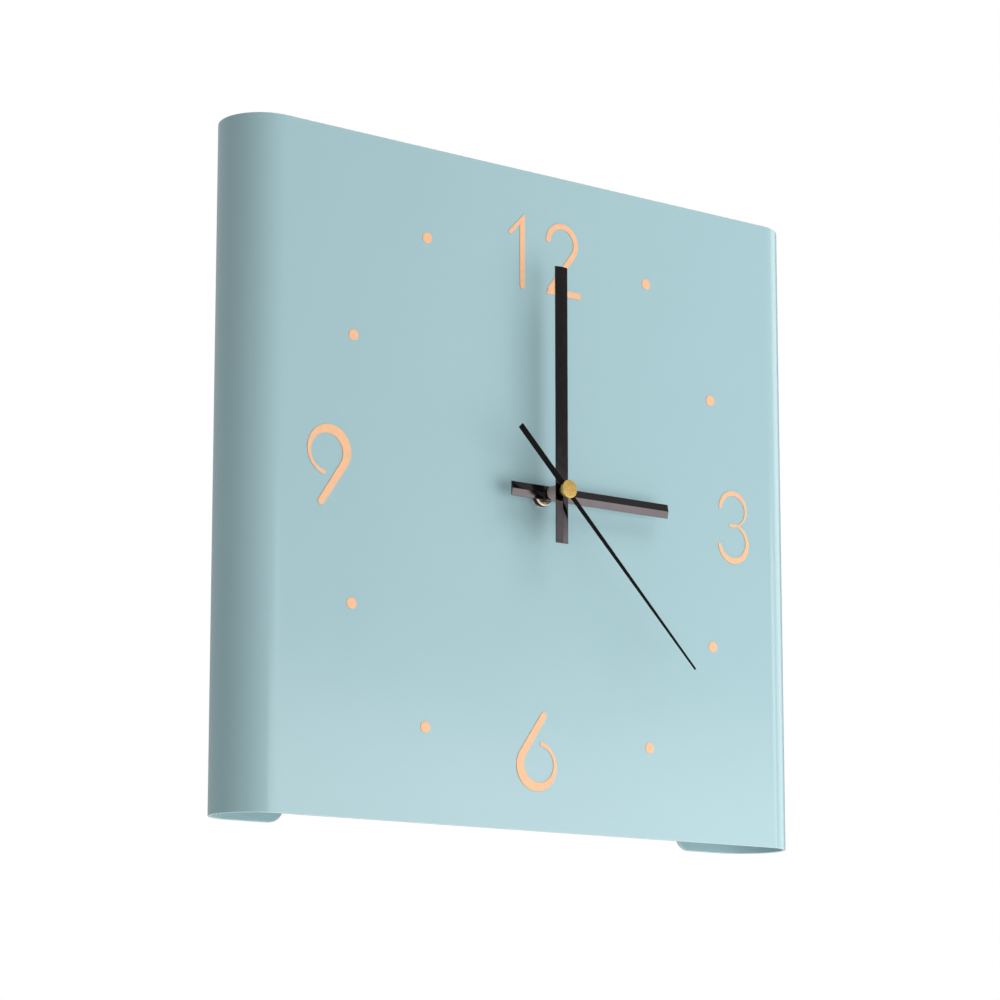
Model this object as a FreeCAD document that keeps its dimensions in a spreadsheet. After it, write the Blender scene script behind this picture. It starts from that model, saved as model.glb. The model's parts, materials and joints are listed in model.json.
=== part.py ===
import FreeCAD, Part
import math
import os
import Sketcher

# Wall clock: one bent sheet panel, a quartz movement behind it, and three hands in front.
# +X is to the right, +Y goes into the wall, +Z is up, in millimetres.
# The origin lies on the wall plane, midway between the two keyholes that the clock hangs on.
# Most parts are drawn about the dial axis, and their Placement drops them to the dial centre.

SIZES = {
    # bent sheet panel
    "panel_height": 300.0,
    "panel_width": 312.0,
    "panel_depth": 38.6,
    "sheet_thickness": 1.5,
    "flange_edge": 110.0,
    "corner_radius": 8.0,
    "dial_drop": 115.0,
    "shaft_hole_radius": 4.15,
    "keyhole_half_spacing": 123.0,
    "keyhole_radius": 4.5,
    "keyhole_slot_radius": 2.25,
    "keyhole_slot_rise": 9.0,
    # dial marks
    "mark_thickness": 0.3,
    "dot_radius": 2.5,
    "dot_ring_upright": 125.4,
    "dot_ring_level": 117.2,
    # movement case
    "case_side": 56.0,
    "case_depth": 14.8,
    "case_floor": 1.5,
    "case_wall": 1.2,
    "cover_thickness": 1.2,
    "bay_wall": 1.0,
    "bay_wall_top": 11.0,
    "bay_wall_half": 25.6,
    "overcut": 1.0,
    "gasket_side": 50.0,
    "gasket_thickness": 1.0,
    # central stack, radii and how far each one stands in front of the panel
    "bushing_radius": 4.0,
    "bushing_flange_radius": 6.0,
    "bushing_seat_radius": 4.5,
    "bushing_front": 3.3,
    "washer_thickness": 0.5,
    "nut_radius": 4.9,
    "nut_thickness": 3.1,
    "nut_chamfer": 0.5,
    "hour_tube_radius": 2.5,
    "hour_tube_front": 7.6,
    "minute_tube_radius": 1.6,
    "minute_tube_front": 15.9,
    "second_arbor_radius": 0.5,
    "second_arbor_front": 20.0,
    "running_gap": 0.05,
    # hands
    "hour_hand_width": 6.5,
    "hour_hand_reach": 68.0,
    "hour_hand_tail": 22.0,
    "hour_hand_back": 7.6,
    "minute_hand_width": 6.9,
    "minute_hand_reach": 102.5,
    "minute_hand_tail": 23.6,
    "minute_hand_back": 15.6,
    "hand_edge": 0.4,
    "hand_ridge": 1.1,
    "second_hand_reach": 104.4,
    "second_hand_tail": 36.4,
    "second_hand_back": 19.3,
    "second_hand_thickness": 0.5,
    "second_hub_radius": 3.0,
    "second_tip_width": 0.9,
    "second_root_width": 2.2,
    "second_tail_width": 2.9,
    "hour_bush_radius": 3.4,
    "hour_bush_back": 4.0,
    "minute_bush_radius": 3.2,
    "minute_bush_back": 9.2,
    "second_bush_radius": 1.8,
    "second_bush_back": 17.1,
    "cap_radius": 4.1,
    "cap_back": 20.1,
    "cap_thickness": 1.6,
    "cap_round": 0.35,
    # wheels
    "wheel_thickness": 0.8,
    "pinion_thickness": 1.1,
    "pivot_radius": 0.3,
    "pivot_gap": 0.05,
    "end_play": 0.1,
    "shaft_clearance": 0.2,
    "pinion_lead": 0.1,
    "hour_wheel_front": 0.3,
    "minute_wheel_front": 1.7,
    "centre_wheel_front": 3.0,
    "plate_front": 4.1,
    "plate_thickness": 0.8,
    "third_wheel_front": 5.2,
    "second_wheel_front": 6.5,
    "intermediate_wheel_front": 7.7,
    "magnet_front": 9.1,
    "magnet_radius": 3.0,
    "magnet_thickness": 2.2,
    "arbor_rear": 11.6,
    "rotor_arbor_extra": 0.3,
    "pivot_length": 0.9,
    "stem_pivot_length": 0.8,
    "boss_radius": 1.3,
    "boss_sink": 0.2,
    "setting_shaft_radius": 1.4,
    "knob_radius": 5.0,
    "knob_thickness": 4.0,
    "knob_gap": 0.5,
    "post_radius": 0.8,
    "post_height": 2.6,
    "post_sink": 0.5,
    "pillar_radius": 1.5,
    "pillar_x": 22.0,
    "pillar_low": 8.0,
    "pillar_high": 16.0,
    "plate_half_width": 24.4,
    "plate_low": 10.4,
    "plate_high": 18.6,
    # electrics
    "stator_front": 9.7,
    "stator_thickness": 1.0,
    "stator_left": 6.0,
    "stator_right": 22.0,
    "stator_low": 9.4,
    "stator_high": 18.4,
    "stator_leg": 4.0,
    "stator_top": 25.0,
    "stator_hole_radius": 3.6,
    "core_thickness": 1.0,
    "core_width": 2.4,
    "coil_height": 22.9,
    "coil_radius": 2.8,
    "bobbin_radius": 1.6,
    "bobbin_flange_radius": 3.0,
    "bobbin_flange": 0.8,
    "board_left": 26.4,
    "board_right": 9.0,
    "board_low": 10.0,
    "board_top": 26.4,
    "board_front": 11.6,
    "board_thickness": 0.8,
    "board_rest_inset": 3.0,
    "crystal_radius": 1.05,
    "crystal_length": 6.2,
    "crystal_x": 24.0,
    "crystal_z": 21.5,
    "blob_radius": 3.0,
    "blob_height": 1.2,
    "blob_x": 14.0,
    "blob_z": 14.5,
    "battery_radius": 7.25,
    "battery_length": 49.5,
    "battery_left": 24.5,
    "battery_drop": 19.5,
    "battery_axis_depth": 7.35,
    "nub_radius": 2.75,
    "nub_length": 1.0,
    "contact_thickness": 0.4,
    "contact_low": 25.0,
    "contact_high": 14.0,
    "contact_front": 3.0,
    "contact_rear_gap": 1.0,
    "contact_tab_inset": 6.0,
    "strip_front": 11.2,
    "strip_width": 1.2,
    "spring_radius": 3.4,
    "spring_tip_radius": 2.0,
    "spring_length": 1.8,
    "dimple_length": 0.4,
}

# Gear train: teeth, and the module of each meshing pair.
MODULE_COARSE = 0.30
ROTOR_MODULE = 0.25
ROTOR_PINION, INTERMEDIATE_WHEEL = 8, 48
INTERMEDIATE_PINION, SECOND_WHEEL = 10, 50
SECOND_PINION, THIRD_WHEEL = 8, 60
THIRD_PINION, CENTRE_WHEEL = 8, 64
CANNON_PINION, MINUTE_WHEEL = 14, 42
MINUTE_PINION, HOUR_WHEEL = 12, 48
SETTING_PINION = 14

# Tooth form, as shares of the module or of the room for one tooth.
TIP_HEIGHT, ROOT_DEPTH = 0.8, 1.2
TOOTH_SHARE = 0.85
PRESSURE_ANGLE = 20.0
ROOT_LEAN = 0.72
NARROWEST_TIP, WIDEST_ROOT = 0.12, 0.92

# Bearing of each wheel from the one that it meshes with, in degrees up from +X.
THIRD_BEARING = 135.0
INTERMEDIATE_BEARING = 60.0
ROTOR_BEARING = 60.0
MINUTE_BEARING = 0.0
SETTING_BEARING = 0.0
SECOND_HAND_TURN = 135.0
TOLERANCE = 1e-6

TO_Y = FreeCAD.Rotation(FreeCAD.Vector(1, 0, 0), -90)
TO_X = FreeCAD.Rotation(FreeCAD.Vector(0, 1, 0), 90)
TO_FRONT = FreeCAD.Rotation(FreeCAD.Vector(1, 0, 0), 90)
FACE_Y = "(-params.panel_depth)"
CASE_FRONT_Y = "(params.sheet_thickness + params.gasket_thickness - params.panel_depth)"
FLOOR_Y = f"({CASE_FRONT_Y} + params.case_floor)"
DIAL_Z = "(-params.dial_drop)"

doc = FreeCAD.newDocument("wall_clock")
sheet = doc.addObject("Spreadsheet::Sheet", "params")
subparts = []


def fill_sheet():
    for row, (alias, size) in enumerate(SIZES.items(), start=1):
        sheet.set(f"A{row}", alias)
        sheet.set(f"B{row}", str(size))
        sheet.setAlias(f"B{row}", alias)
    doc.recompute()


def number(rule):
    """The value of an expression over the sheet's aliases."""
    return float(sheet.evalExpression(str(rule)))


def bind(obj, rules):
    for prop, rule in rules.items():
        obj.setExpression(prop, str(rule))
    return obj


def sub_part(obj, label, y=FACE_Y, rotation=None, z=DIAL_Z):
    """Give a finished part its name and its place: drawn about the dial axis, dropped to the dial."""
    obj.Label = label
    if rotation:
        obj.Placement = FreeCAD.Placement(FreeCAD.Vector(), rotation)
    bind(obj, {"Placement.Base.y": y, "Placement.Base.z": z})
    subparts.append(obj)
    return obj


# ---- Part primitives ----------------------------------------------------------------------

def rod(name, radius, front, length, x="0", z="0"):
    """A round bar along +Y, starting at the depth front."""
    bar = doc.addObject("Part::Cylinder", name)
    bar.Placement = FreeCAD.Placement(FreeCAD.Vector(), TO_Y)
    place = {"Placement.Base.x": x, "Placement.Base.y": front, "Placement.Base.z": z}
    return bind(bar, {"Radius": radius, "Height": length, **place})


def cross_rod(name, radius, left, length, y, z):
    """A round bar along +X."""
    bar = doc.addObject("Part::Cylinder", name)
    bar.Placement = FreeCAD.Placement(FreeCAD.Vector(), TO_X)
    place = {"Placement.Base.x": left, "Placement.Base.y": y, "Placement.Base.z": z}
    return bind(bar, {"Radius": radius, "Height": length, **place})


def block(name, x_span, y_span, z_span):
    """A box given by its low and high bounds on each axis."""
    box = doc.addObject("Part::Box", name)
    rules = {}
    for side, axis, (low, high) in zip(("Length", "Width", "Height"), "xyz", (x_span, y_span, z_span)):
        rules[f"Placement.Base.{axis}"] = low
        rules[side] = f"({high}) - ({low})"
    return bind(box, rules)


def fuse(name, *shapes):
    if len(shapes) == 1:
        return shapes[0]
    joined = doc.addObject("Part::MultiFuse", name)
    joined.Shapes = list(shapes)
    joined.Refine = True
    return joined


def cut(name, base, *tools):
    result = doc.addObject("Part::Cut", name)
    result.Base = base
    result.Tool = fuse(f"{name}_tools", *tools)
    result.Refine = True
    return result


def alone(name, piece):
    """Wrap a single primitive, so that the sub-part's place adds to the primitive's own."""
    wrapper = doc.addObject("Part::Compound", name)
    wrapper.Links = [piece]
    return wrapper


def cone(name, base_radius, tip_radius, length, x, y, z, rotation):
    """A cut-off cone standing on its base at a point, along the axis that rotation gives."""
    taper = doc.addObject("Part::Cone", name)
    taper.Placement = FreeCAD.Placement(FreeCAD.Vector(), rotation)
    place = {"Placement.Base.x": x, "Placement.Base.y": y, "Placement.Base.z": z}
    return bind(taper, {"Radius1": base_radius, "Radius2": tip_radius, "Height": length, **place})


# ---- PartDesign bodies --------------------------------------------------------------------

def new_body(name):
    return doc.addObject("PartDesign::Body", name)


def sketch_on(body, role, name):
    sketch = body.newObject("Sketcher::SketchObject", name)
    plane = next(f for f in body.Origin.OriginFeatures if f.Role == role)
    sketch.AttachmentSupport = (plane, "")
    sketch.MapMode = "FlatFace"
    return sketch


def pin_point(sketch, geometry, point, name, x_rule, y_rule):
    """Hold one sketch point at coordinates given by expressions."""
    for kind, axis_line, rule in (("DistanceX", -2, x_rule), ("DistanceY", -1, y_rule)):
        if number(rule) == 0:
            sketch.addConstraint(Sketcher.Constraint("PointOnObject", geometry, point, axis_line))
            continue
        datum = Sketcher.Constraint(kind, -1, 1, geometry, point, number(rule))
        label = f"{name}_{kind}"
        sketch.renameConstraint(sketch.addConstraint(datum), label)
        sketch.setExpression(f"Constraints.{label}", str(rule))


def outline(sketch, corners, centres=None):
    """A closed outline through corners; centres maps a side's index to its arc centre and sweep."""
    centres = centres or {}
    points = [FreeCAD.Vector(number(x), number(y), 0) for x, y in corners]
    count = len(points)
    for side in range(count):
        start, end = points[side], points[(side + 1) % count]
        if side not in centres:
            sketch.addGeometry(Part.LineSegment(start, end))
            continue
        x_rule, y_rule, middle = centres[side]
        centre = FreeCAD.Vector(number(x_rule), number(y_rule), 0)
        along = FreeCAD.Vector(math.cos(math.radians(middle)), math.sin(math.radians(middle)), 0)
        sketch.addGeometry(Part.Arc(start, centre + along * (start - centre).Length, end))
    for side in range(count):
        following = (side + 1) % count
        end = arc_end(sketch, side, points[following])
        start = 3 - arc_end(sketch, following, points[(following + 1) % count])
        sketch.addConstraint(Sketcher.Constraint("Coincident", side, end, following, start))
        pin_point(sketch, side, end, f"corner{side}", *corners[following])
        if side in centres:
            pin_centre(sketch, side, centres[side], points[side] - points[following])


def arc_end(sketch, geometry, target):
    """1 or 2: which end of a sketch line or arc lies on the target point."""
    return 1 if sketch.getPoint(geometry, 1).distanceToPoint(target) < TOLERANCE else 2


def pin_centre(sketch, geometry, centre, chord):
    """Hold an arc's centre along the one direction that its two ends leave free."""
    upright = abs(chord.y) > abs(chord.x)
    kind, rule = ("DistanceX", centre[0]) if upright else ("DistanceY", centre[1])
    datum = Sketcher.Constraint(kind, -1, 1, geometry, 3, number(rule))
    label = f"centre{geometry}"
    sketch.renameConstraint(sketch.addConstraint(datum), label)
    sketch.setExpression(f"Constraints.{label}", str(rule))


def circle(sketch, x_rule, y_rule, radius_rule):
    centre = FreeCAD.Vector(number(x_rule), number(y_rule), 0)
    index = sketch.addGeometry(Part.Circle(centre, FreeCAD.Vector(0, 0, 1), number(radius_rule)))
    pin_point(sketch, index, 3, f"circle{index}", x_rule, y_rule)
    label = f"radius{index}"
    datum = Sketcher.Constraint("Radius", index, number(radius_rule))
    sketch.renameConstraint(sketch.addConstraint(datum), label)
    sketch.setExpression(f"Constraints.{label}", str(radius_rule))


def pad(body, sketch, length, side="One side"):
    feature = body.newObject("PartDesign::Pad", f"{sketch.Name}_pad")
    feature.Profile = sketch
    feature.SideType = side
    bind(feature, {"Length": length})
    doc.recompute()
    return feature


def pocket(body, sketch, length, towards_front=False):
    """Cut to the rear, or to the front; a pocket that removes nothing is an error."""
    before = body.Shape.Volume
    feature = body.newObject("PartDesign::Pocket", f"{sketch.Name}_pocket")
    feature.Profile = sketch
    feature.Reversed = towards_front
    bind(feature, {"Length": length})
    doc.recompute()
    if body.Shape.Volume > before - TOLERANCE:
        raise ValueError(f"{feature.Name} cut nothing")
    return feature


def turned(name, profile):
    """A body turned about the dial axis from a half profile of (radius, depth) corners."""
    body = new_body(name)
    sketch = sketch_on(body, "XY_Plane", f"{name}_profile")
    outline(sketch, profile)
    feature = body.newObject("PartDesign::Revolution", f"{name}_turn")
    feature.Profile = sketch
    feature.ReferenceAxis = (sketch, ["V_Axis"])
    feature.Angle = 360
    doc.recompute()
    return body


def sleeve(name, inner, outer, front, rear):
    """A plain turned ring between two depths."""
    return turned(name, [(inner, front), (outer, front), (outer, rear), (inner, rear)])


# ---- the bent sheet panel -----------------------------------------------------------------

def panel_profile(sketch):
    """The C-shaped section: flat front, half-round rolls, and flanges turned in along the wall."""
    roll = "params.panel_depth / 2"
    bend = f"(params.panel_width / 2 - {roll})"
    inner_front = "(params.sheet_thickness - params.panel_depth)"
    inner_back = "(-params.sheet_thickness)"
    half = [
        (bend, "-params.panel_depth"),
        (bend, "0"),
        ("params.flange_edge", "0"),
        ("params.flange_edge", inner_back),
        (bend, inner_back),
        (bend, inner_front),
    ]
    mirrored = [(f"-{x}", y) for x, y in reversed(half)]
    right_roll = (bend, f"-{roll}", 0)
    left_roll = (f"-{bend}", f"-{roll}", 180)
    outline(sketch, half + mirrored, {0: right_roll, 4: right_roll, 6: left_roll, 10: left_roll})


def keyhole_slot(sketch, x_rule):
    radius = "params.keyhole_slot_radius"
    low = "(params.dial_drop)"
    high = "(params.dial_drop + params.keyhole_slot_rise)"
    left, right = f"({x_rule} - {radius})", f"({x_rule} + {radius})"
    outline(sketch, [(left, low), (right, low), (right, high), (left, high)], {2: (x_rule, high, 90)})


def is_flange_corner(line):
    """True for the four short edges where a flange's free edge meets the panel's top or bottom."""
    edge, half_height = number("params.flange_edge"), number("params.panel_height / 2")
    middle = line.CenterOfMass
    at_edge = abs(abs(middle.x) - edge) < TOLERANCE
    at_end = abs(abs(middle.z) - half_height) < TOLERANCE
    return at_edge and at_end and line.Length < 2 * number("params.sheet_thickness")


def front_panel():
    body = new_body("front_panel")
    profile = sketch_on(body, "XY_Plane", "panel_section")
    panel_profile(profile)
    pad(body, profile, "params.panel_height", "Symmetric")

    shaft_hole = sketch_on(body, "XZ_Plane", "shaft_hole")
    circle(shaft_hole, "0", "0", "params.shaft_hole_radius")
    pocket(body, shaft_hole, "params.panel_depth + params.sheet_thickness", towards_front=True)

    for side, sign in (("left", "-"), ("right", "")):
        middle = f"({sign}params.keyhole_half_spacing)"
        entry = sketch_on(body, "XZ_Plane", f"keyhole_{side}")
        circle(entry, middle, "params.dial_drop", "params.keyhole_radius")
        pocket(body, entry, "2 * params.sheet_thickness", towards_front=True)
        slot = sketch_on(body, "XZ_Plane", f"keyhole_slot_{side}")
        keyhole_slot(slot, middle)
        pocket(body, slot, "2 * params.sheet_thickness", towards_front=True)

    edges = enumerate(body.Shape.Edges, start=1)
    corners = [f"Edge{index}" for index, line in edges if is_flange_corner(line)]
    square = body.Tip
    rounded = body.newObject("PartDesign::Fillet", "flange_corners")
    rounded.Base = (square, corners)
    bind(rounded, {"Radius": "params.corner_radius"})
    doc.recompute()
    sub_part(body, "front_panel", y="0")


# ---- numerals and dots --------------------------------------------------------------------

def knot(x, z, heading, width):
    """A station on a brush stroke: its place, its direction of travel in degrees, and its width."""
    offset = FreeCAD.Vector(x_part(heading + 90), 0, z_part(heading + 90)) * (width / 2)
    middle = FreeCAD.Vector(x, 0, z)
    ahead = FreeCAD.Vector(x_part(heading), 0, z_part(heading)) * (width / 2)
    return {"left": middle + offset, "right": middle - offset, "middle": middle, "ahead": ahead}


def x_part(heading):
    return math.cos(math.radians(heading))


def z_part(heading):
    return math.sin(math.radians(heading))


def arc_knots(centre, turn, *stations):
    """Stations on a round stroke; each is an angle, a radius and a width. turn is +1 or -1."""
    knots = []
    for angle, radius, width in stations:
        x = centre[0] + radius * x_part(angle)
        z = centre[1] + radius * z_part(angle)
        knots.append(knot(x, z, angle + 90 * turn, width))
    return knots


def side_edges(knots, key):
    """One long side of a stroke: an arc through each three stations, or a line between two."""
    edges = []
    for run in knots:
        if len(run) == 3:
            edges.append(Part.Arc(run[0][key], run[1][key], run[2][key]).toShape())
        else:
            edges.append(Part.LineSegment(run[0][key], run[1][key]).toShape())
    return edges


def stroke(runs, round_start=True, round_end=True):
    """A flat brush stroke with round or square ends, as a face on the dial plane."""
    first, last = runs[0][0], runs[-1][-1]
    edges = side_edges(runs, "left") + side_edges(runs, "right")
    edges.append(end_edge(first, -1, round_start))
    edges.append(end_edge(last, 1, round_end))
    return Part.Face(Part.Wire(Part.__sortEdges__(edges)))


def end_edge(station, direction, is_round):
    if is_round:
        tip = station["middle"] + station["ahead"] * direction
        return Part.Arc(station["left"], tip, station["right"]).toShape()
    return Part.LineSegment(station["left"], station["right"]).toShape()


def polygon_face(corners):
    points = [FreeCAD.Vector(x, 0, z) for x, z in corners]
    return Part.Face(Part.makePolygon(points + points[:1]))


def numeral(label, *faces):
    """A raised numeral made of flat strokes, standing on the dial."""
    thickness = FreeCAD.Vector(0, -number("params.mark_thickness"), 0)
    solids = [face.extrude(thickness) for face in faces]
    shape = solids[0]
    if len(solids) > 1:
        shape = solids[0].fuse(solids[1:]).removeSplitter()
    feature = doc.addObject("Part::Feature", label)
    feature.Shape = shape.Solids[0]
    sub_part(feature, label)


def nine_face(centre, flip):
    """The open-bowled 9; flip of -1 turns it half round into a 6."""
    turned_by = 0 if flip > 0 else 180
    bowl = arc_knots(
        centre,
        -1,
        (255 + turned_by, 9.95, 1.9),
        (140 + turned_by, 9.85, 2.8),
        (-30 + turned_by, 9.4, 3.7),
    )
    tail = knot(centre[0] - 3.85 * flip, centre[1] - 22.35 * flip, 235 + turned_by, 3.2)
    return stroke([bowl, [bowl[-1], tail]])


def three_faces(centre_x):
    upper = arc_knots((centre_x, 7.85), -1, (174, 7.9, 1.8), (40, 7.8, 1.9), (-108, 7.95, 0.9))
    lower = arc_knots((centre_x, -7.8), -1, (106, 8.4, 0.9), (-30, 8.65, 2.5), (-168, 8.65, 1.8))
    return stroke([upper]), stroke([lower])


def two_faces(centre):
    hook = arc_knots(centre, -1, (174, 8.0, 2.7), (70, 8.0, 2.7), (-37.5, 8.0, 2.7))
    foot = knot(5.4, 96.2, 232.5, 2.7)
    base = polygon_face([(3.6, 94.5), (23.6, 94.5), (23.6, 97.4), (5.6, 97.4)])
    return stroke([hook, [hook[-1], foot]], round_end=False), base


def one_faces(left, right, apex):
    """A stem with a round foot, cut to a point at the top, and a flag that slopes down to the left."""
    width, middle = right - left, (left + right) / 2
    flag_heading, flag_width, flag_end = 226.0, 1.9, (-16.6, 119.8)
    shoulder = apex + width * z_part(flag_heading) / abs(x_part(flag_heading))
    neck, foot = shoulder - width, 95.7
    point = polygon_face([(left, neck), (right, neck), (right, apex), (left, shoulder)])
    stem = stroke([[knot(middle, neck, 270, width), knot(middle, foot, 270, width)]], round_start=False)
    reach = (middle - flag_end[0]) / abs(x_part(flag_heading))
    start = knot(middle, flag_end[1] + reach * abs(z_part(flag_heading)), flag_heading, flag_width)
    flag = stroke([[start, knot(*flag_end, flag_heading, flag_width)]], round_start=False)
    return point, stem, flag


def numerals():
    numeral("numeral_one", *one_faces(-11.25, -8.5, 129.5))
    numeral("numeral_two", *two_faces((12.95, 119.25)))
    numeral("numeral_three", *three_faces(114.9))
    numeral("numeral_six", nine_face((-2.05, -121.0), -1))
    numeral("numeral_nine", nine_face((-113.75, 6.05), 1))


def hour_dots():
    """Eight round dots at the hours between the numerals."""
    dots = []
    for hour in (1, 2, 4, 5, 7, 8, 10, 11):
        ring = "params.dot_ring_upright" if hour % 6 in (1, 5) else "params.dot_ring_level"
        angle = 90 - 30 * hour
        x, z = f"{ring} * cos({angle} deg)", f"{ring} * sin({angle} deg)"
        thickness = "params.mark_thickness"
        dots.append(rod(f"dot_{hour}", "params.dot_radius", f"-{thickness}", thickness, x, z))
    group = doc.addObject("Part::Compound", "hour_dots")
    group.Links = dots
    sub_part(group, "hour_dots")


# ---- hands --------------------------------------------------------------------------------

def bar_hand(label, width, reach, tail, back, bore, rotation):
    """A straight bar hand with a ridge along its front, drawn pointing up."""
    body = new_body(label)
    section = sketch_on(body, "XY_Plane", f"{label}_section")
    half = f"({width} / 2)"
    corners = [
        (f"-{half}", "0"),
        (f"-{half}", "-params.hand_edge"),
        ("0", "-params.hand_ridge"),
        (half, "-params.hand_edge"),
        (half, "0"),
    ]
    outline(section, corners)
    bar = pad(body, section, reach, "Two sides")
    bind(bar, {"Length2": tail})
    doc.recompute()
    hole = sketch_on(body, "XZ_Plane", f"{label}_bore")
    circle(hole, "0", "0", bore)
    pocket(body, hole, "2 * params.hand_ridge", towards_front=True)
    sub_part(body, label, y=f"{FACE_Y} - {back}", rotation=rotation)


def second_hand():
    """A thin flat hand: tapering arm, round hub, and a wider tail."""
    body = new_body("second_hand")
    arm = sketch_on(body, "XZ_Plane", "second_arm")
    root, tip = "(params.second_root_width / 2)", "(params.second_tip_width / 2)"
    reach = "params.second_hand_reach"
    outline(arm, [(f"-{root}", "0"), (root, "0"), (tip, reach), (f"-{tip}", reach)])
    pad(body, arm, "params.second_hand_thickness")
    tail = sketch_on(body, "XZ_Plane", "second_tail")
    half, end = "(params.second_tail_width / 2)", "-params.second_hand_tail"
    outline(tail, [(f"-{half}", end), (half, end), (half, "0"), (f"-{half}", "0")])
    pad(body, tail, "params.second_hand_thickness")
    hub = sketch_on(body, "XZ_Plane", "second_hub")
    circle(hub, "0", "0", "params.second_hub_radius")
    pad(body, hub, "params.second_hand_thickness")
    hole = sketch_on(body, "XZ_Plane", "second_hand_bore")
    circle(hole, "0", "0", "params.second_bush_radius")
    pocket(body, hole, "2 * params.second_hand_thickness", towards_front=True)
    turn = FreeCAD.Rotation(FreeCAD.Vector(0, 1, 0), SECOND_HAND_TURN)
    sub_part(body, "second_hand", y=f"{FACE_Y} - params.second_hand_back", rotation=turn)


def hands():
    three_o_clock = FreeCAD.Rotation(FreeCAD.Vector(0, 1, 0), 90)
    bar_hand(
        "hour_hand",
        "params.hour_hand_width",
        "params.hour_hand_reach",
        "params.hour_hand_tail",
        "params.hour_hand_back",
        "params.hour_tube_radius",
        three_o_clock,
    )
    bar_hand(
        "minute_hand",
        "params.minute_hand_width",
        "params.minute_hand_reach",
        "params.minute_hand_tail",
        "params.minute_hand_back",
        "params.minute_tube_radius",
        None,
    )
    second_hand()


def bushes():
    """The turned collets that the hands are pressed on by, and the second hand's button cap."""
    hour = sleeve(
        "hour_hand_bush",
        "params.hour_tube_radius",
        "params.hour_bush_radius",
        "-params.hour_hand_back",
        "-params.hour_bush_back",
    )
    sub_part(hour, "hour_hand_bush")
    minute = sleeve(
        "minute_hand_bush",
        "params.minute_tube_radius",
        "params.minute_bush_radius",
        "-params.minute_hand_back",
        "-params.minute_bush_back",
    )
    sub_part(minute, "minute_hand_bush")
    second = sleeve(
        "second_hand_bush",
        "params.second_arbor_radius",
        "params.second_bush_radius",
        "-params.cap_back",
        "-params.second_bush_back",
    )
    sub_part(second, "second_hand_bush")
    front = "-(params.cap_back + params.cap_thickness)"
    shoulder = "-(params.cap_back + params.cap_thickness - params.cap_round)"
    face_radius = "(params.cap_radius - params.cap_round)"
    corners = [
        ("0", "-params.cap_back"),
        ("0", front),
        (face_radius, front),
        ("params.cap_radius", shoulder),
        ("params.cap_radius", "-params.cap_back"),
    ]
    sub_part(turned("second_hand_cap", corners), "second_hand_cap")


# ---- the fixing through the panel ---------------------------------------------------------

def fixing():
    """Threaded bushing, rubber gasket behind the panel, and the washer and ring nut in front."""
    bore = "(params.hour_tube_radius + params.running_gap)"
    flange_front = "params.sheet_thickness"
    flange_rear = "(params.sheet_thickness + params.gasket_thickness)"
    floor = f"({flange_rear} + params.case_floor)"
    corners = [
        (bore, "-params.bushing_front"),
        ("params.bushing_radius", "-params.bushing_front"),
        ("params.bushing_radius", flange_front),
        ("params.bushing_flange_radius", flange_front),
        ("params.bushing_flange_radius", flange_rear),
        ("params.bushing_seat_radius", flange_rear),
        ("params.bushing_seat_radius", floor),
        (bore, floor),
    ]
    sub_part(turned("threaded_bushing", corners), "threaded_bushing")

    half = "(params.gasket_side / 2)"
    sheet_block = block("gasket_sheet", (f"-{half}", half), (flange_front, flange_rear), (f"-{half}", half))
    hole = rod("gasket_hole", "params.bushing_flange_radius", "0", "2 * params.panel_depth")
    sub_part(cut("rubber_gasket", sheet_block, hole), "rubber_gasket")

    washer = sleeve(
        "dial_washer", "params.bushing_radius", "params.nut_radius", "-params.washer_thickness", "0"
    )
    sub_part(washer, "dial_washer")
    nut_front = "-(params.washer_thickness + params.nut_thickness)"
    shoulder = f"({nut_front} + params.nut_chamfer)"
    corners = [
        ("params.bushing_radius", nut_front),
        ("(params.nut_radius - params.nut_chamfer)", nut_front),
        ("params.nut_radius", shoulder),
        ("params.nut_radius", "-params.washer_thickness"),
        ("params.bushing_radius", "-params.washer_thickness"),
    ]
    sub_part(turned("dial_nut", corners), "dial_nut")


# ---- gears --------------------------------------------------------------------------------

def tooth_ring(name, teeth, module, front, width, phase):
    """A solid toothed disc along +Y. phase is the angle of one tooth's middle, in degrees."""
    pitch = module * teeth / 2
    tip, root = pitch + TIP_HEIGHT * module, pitch - ROOT_DEPTH * module
    half_at_pitch = TOOTH_SHARE * math.pi / (2 * teeth)
    lean = math.tan(math.radians(PRESSURE_ANGLE)) * module / pitch
    half_at_tip = max(half_at_pitch - TIP_HEIGHT * lean, NARROWEST_TIP * half_at_pitch)
    half_at_root = min(half_at_pitch + ROOT_LEAN * lean, WIDEST_ROOT * math.pi / teeth)
    flanks = ((root, -half_at_root), (tip, -half_at_tip), (tip, half_at_tip), (root, half_at_root))
    points = []
    for index in range(teeth):
        middle = math.radians(phase) + 2 * math.pi * index / teeth
        for radius, offset in flanks:
            angle = middle + offset
            points.append(FreeCAD.Vector(radius * math.cos(angle), 0, radius * math.sin(angle)))
    face = Part.Face(Part.makePolygon(points + points[:1]))
    ring = doc.addObject("Part::Feature", name)
    ring.Shape = face.extrude(FreeCAD.Vector(0, number(width), 0))
    return bind(ring, {"Placement.Base.y": front})


def meshing_phase(teeth, phase, bearing, next_teeth):
    """The phase that puts a gap of the next wheel on this wheel's tooth, along their bearing."""
    lead = (bearing - phase) * teeth / 360
    return bearing + 180 - (0.5 - lead) * 360 / next_teeth


def axis_at(distance, bearing, x=0.0, z=0.0):
    return x + distance * x_part(bearing), z + distance * z_part(bearing)


def pair_distance(module, first, second):
    return module * (first + second) / 2


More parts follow.
